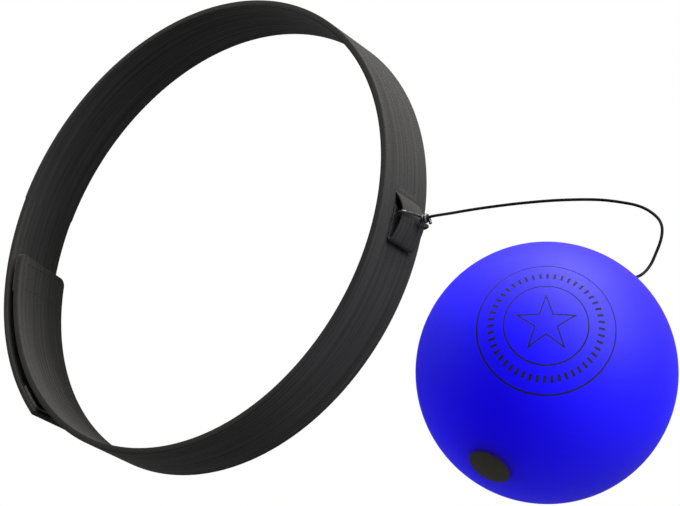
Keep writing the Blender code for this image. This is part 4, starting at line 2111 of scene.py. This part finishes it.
@dataclass
class Stage:
    """Plain floor, soft lights, white surroundings and the camera."""

    target: Vector = field(default_factory=lambda: Vector((-0.01, -0.02, 0.01)))
    camera_place: Vector = field(default_factory=lambda: Vector((-0.223617, -0.435095, 0.515100)))
    camera_right: Vector = field(default_factory=lambda: Vector((0.19112, -0.78336, -0.59146)))
    camera_up: Vector = field(default_factory=lambda: Vector((0.92927, -0.04965, 0.36604)))
    focal: float = 132.353
    sensor: float = 36.0
    clip_start: float = 0.01
    lights: tuple[SoftLight, ...] = (
        SoftLight("light_key", -15.0, 4.0, (0.8, 0.2), 30.5, WARM),
        SoftLight("light_side", -60.0, 4.0, (0.8, 0.2), 22.0, COOL),
        SoftLight("light_front", -20.0, 20.0, (0.9, 0.5), 11.2, WARM),
        SoftLight("light_over", -60.0, 25.0, (0.9, 0.5), 10.8),
        SoftLight("light_edge", 20.0, 12.0, (0.8, 0.3), 8.2, WARM),
        SoftLight("light_back", 76.0, 34.0, (1.1, 0.9), 4.9),
        SoftLight("light_far", 180.0, 30.0, (0.7, 0.5), 11.6, mirrored=False),
        SoftLight("light_top", 180.0, 86.0, (0.6, 0.6), 2.6, mirrored=False),
    )
    floor_size: float = 8.0
    floor_depth: float = 0.0003
    floor_bounce: float = 0.1
    floor_roughness: float = 0.9
    floor_glow: float = 0.27

    def build(self, groups: SharedGroups) -> None:
        """Add the floor, the lights, the surroundings and the camera.

        Args:
            groups: The shared shader groups.
        """
        self._floor(groups)
        for light in self.lights:
            light.build(self.target)
        self._surroundings()
        self._camera()

    def _floor(self, groups: SharedGroups) -> None:
        """An even floor that lights the object from below, out of the camera's sight.

        Args:
            groups: The shared shader groups.
        """
        deselect_all()
        bpy.ops.mesh.primitive_plane_add(size=self.floor_size, location=(0, 0, -self.floor_depth))
        floor = bpy.context.object
        floor.name = "floor"
        floor.visible_camera = False
        floor.visible_shadow = False
        finish = Finish("floor_white", groups)
        finish.set(
            Base_Color=opaque((self.floor_bounce,) * 3),
            Roughness=self.floor_roughness,
            Specular_IOR_Level=0.0,
            Emission_Color=opaque(WHITE),
            Emission_Strength=self.floor_glow,
        )
        floor.data.materials.append(finish.material)

    def _surroundings(self) -> None:
        """White surroundings that only the camera sees, and plain colour handling."""
        world = bpy.data.worlds.new("studio")
        world.use_nodes = True
        back = world.node_tree.nodes["Background"]
        sheet = NodeSheet(world.node_tree)
        ray = sheet.add("ShaderNodeLightPath")
        sheet.feed(back.inputs["Color"], opaque(WHITE))
        sheet.feed(back.inputs["Strength"], ray.outputs["Is Camera Ray"])
        bpy.context.scene.world = world
        bpy.context.scene.view_settings.view_transform = "Standard"

    def _camera(self) -> None:
        """The camera, at the fitted place and turn."""
        data = bpy.data.cameras.new("view")
        data.sensor_width = self.sensor
        data.lens = self.focal
        data.clip_start = self.clip_start
        camera = bpy.data.objects.new("view", data)
        right, up = self.camera_right.normalized(), self.camera_up.normalized()
        turn = Matrix((right, up, right.cross(up))).transposed()
        camera.matrix_world = Matrix.Translation(self.camera_place) @ turn.to_4x4()
        bpy.context.collection.objects.link(camera)
        bpy.context.scene.camera = camera


def main() -> None:
    """Build the stage and every piece, and report them."""
    logging.basicConfig(level=logging.INFO, format="%(message)s")
    groups = SharedGroups()
    Stage().build(groups)
    line = StrapLine()
    tab = CordTab(line)
    ball = ReflexBall()
    CordRun(tab, ball).build(groups)
    HeadStrap(line).build(groups)
    tab.build(groups)
    ball.build(groups)
    bpy.data.objects.remove(line.guide)


if __name__ == "__main__":
    main()
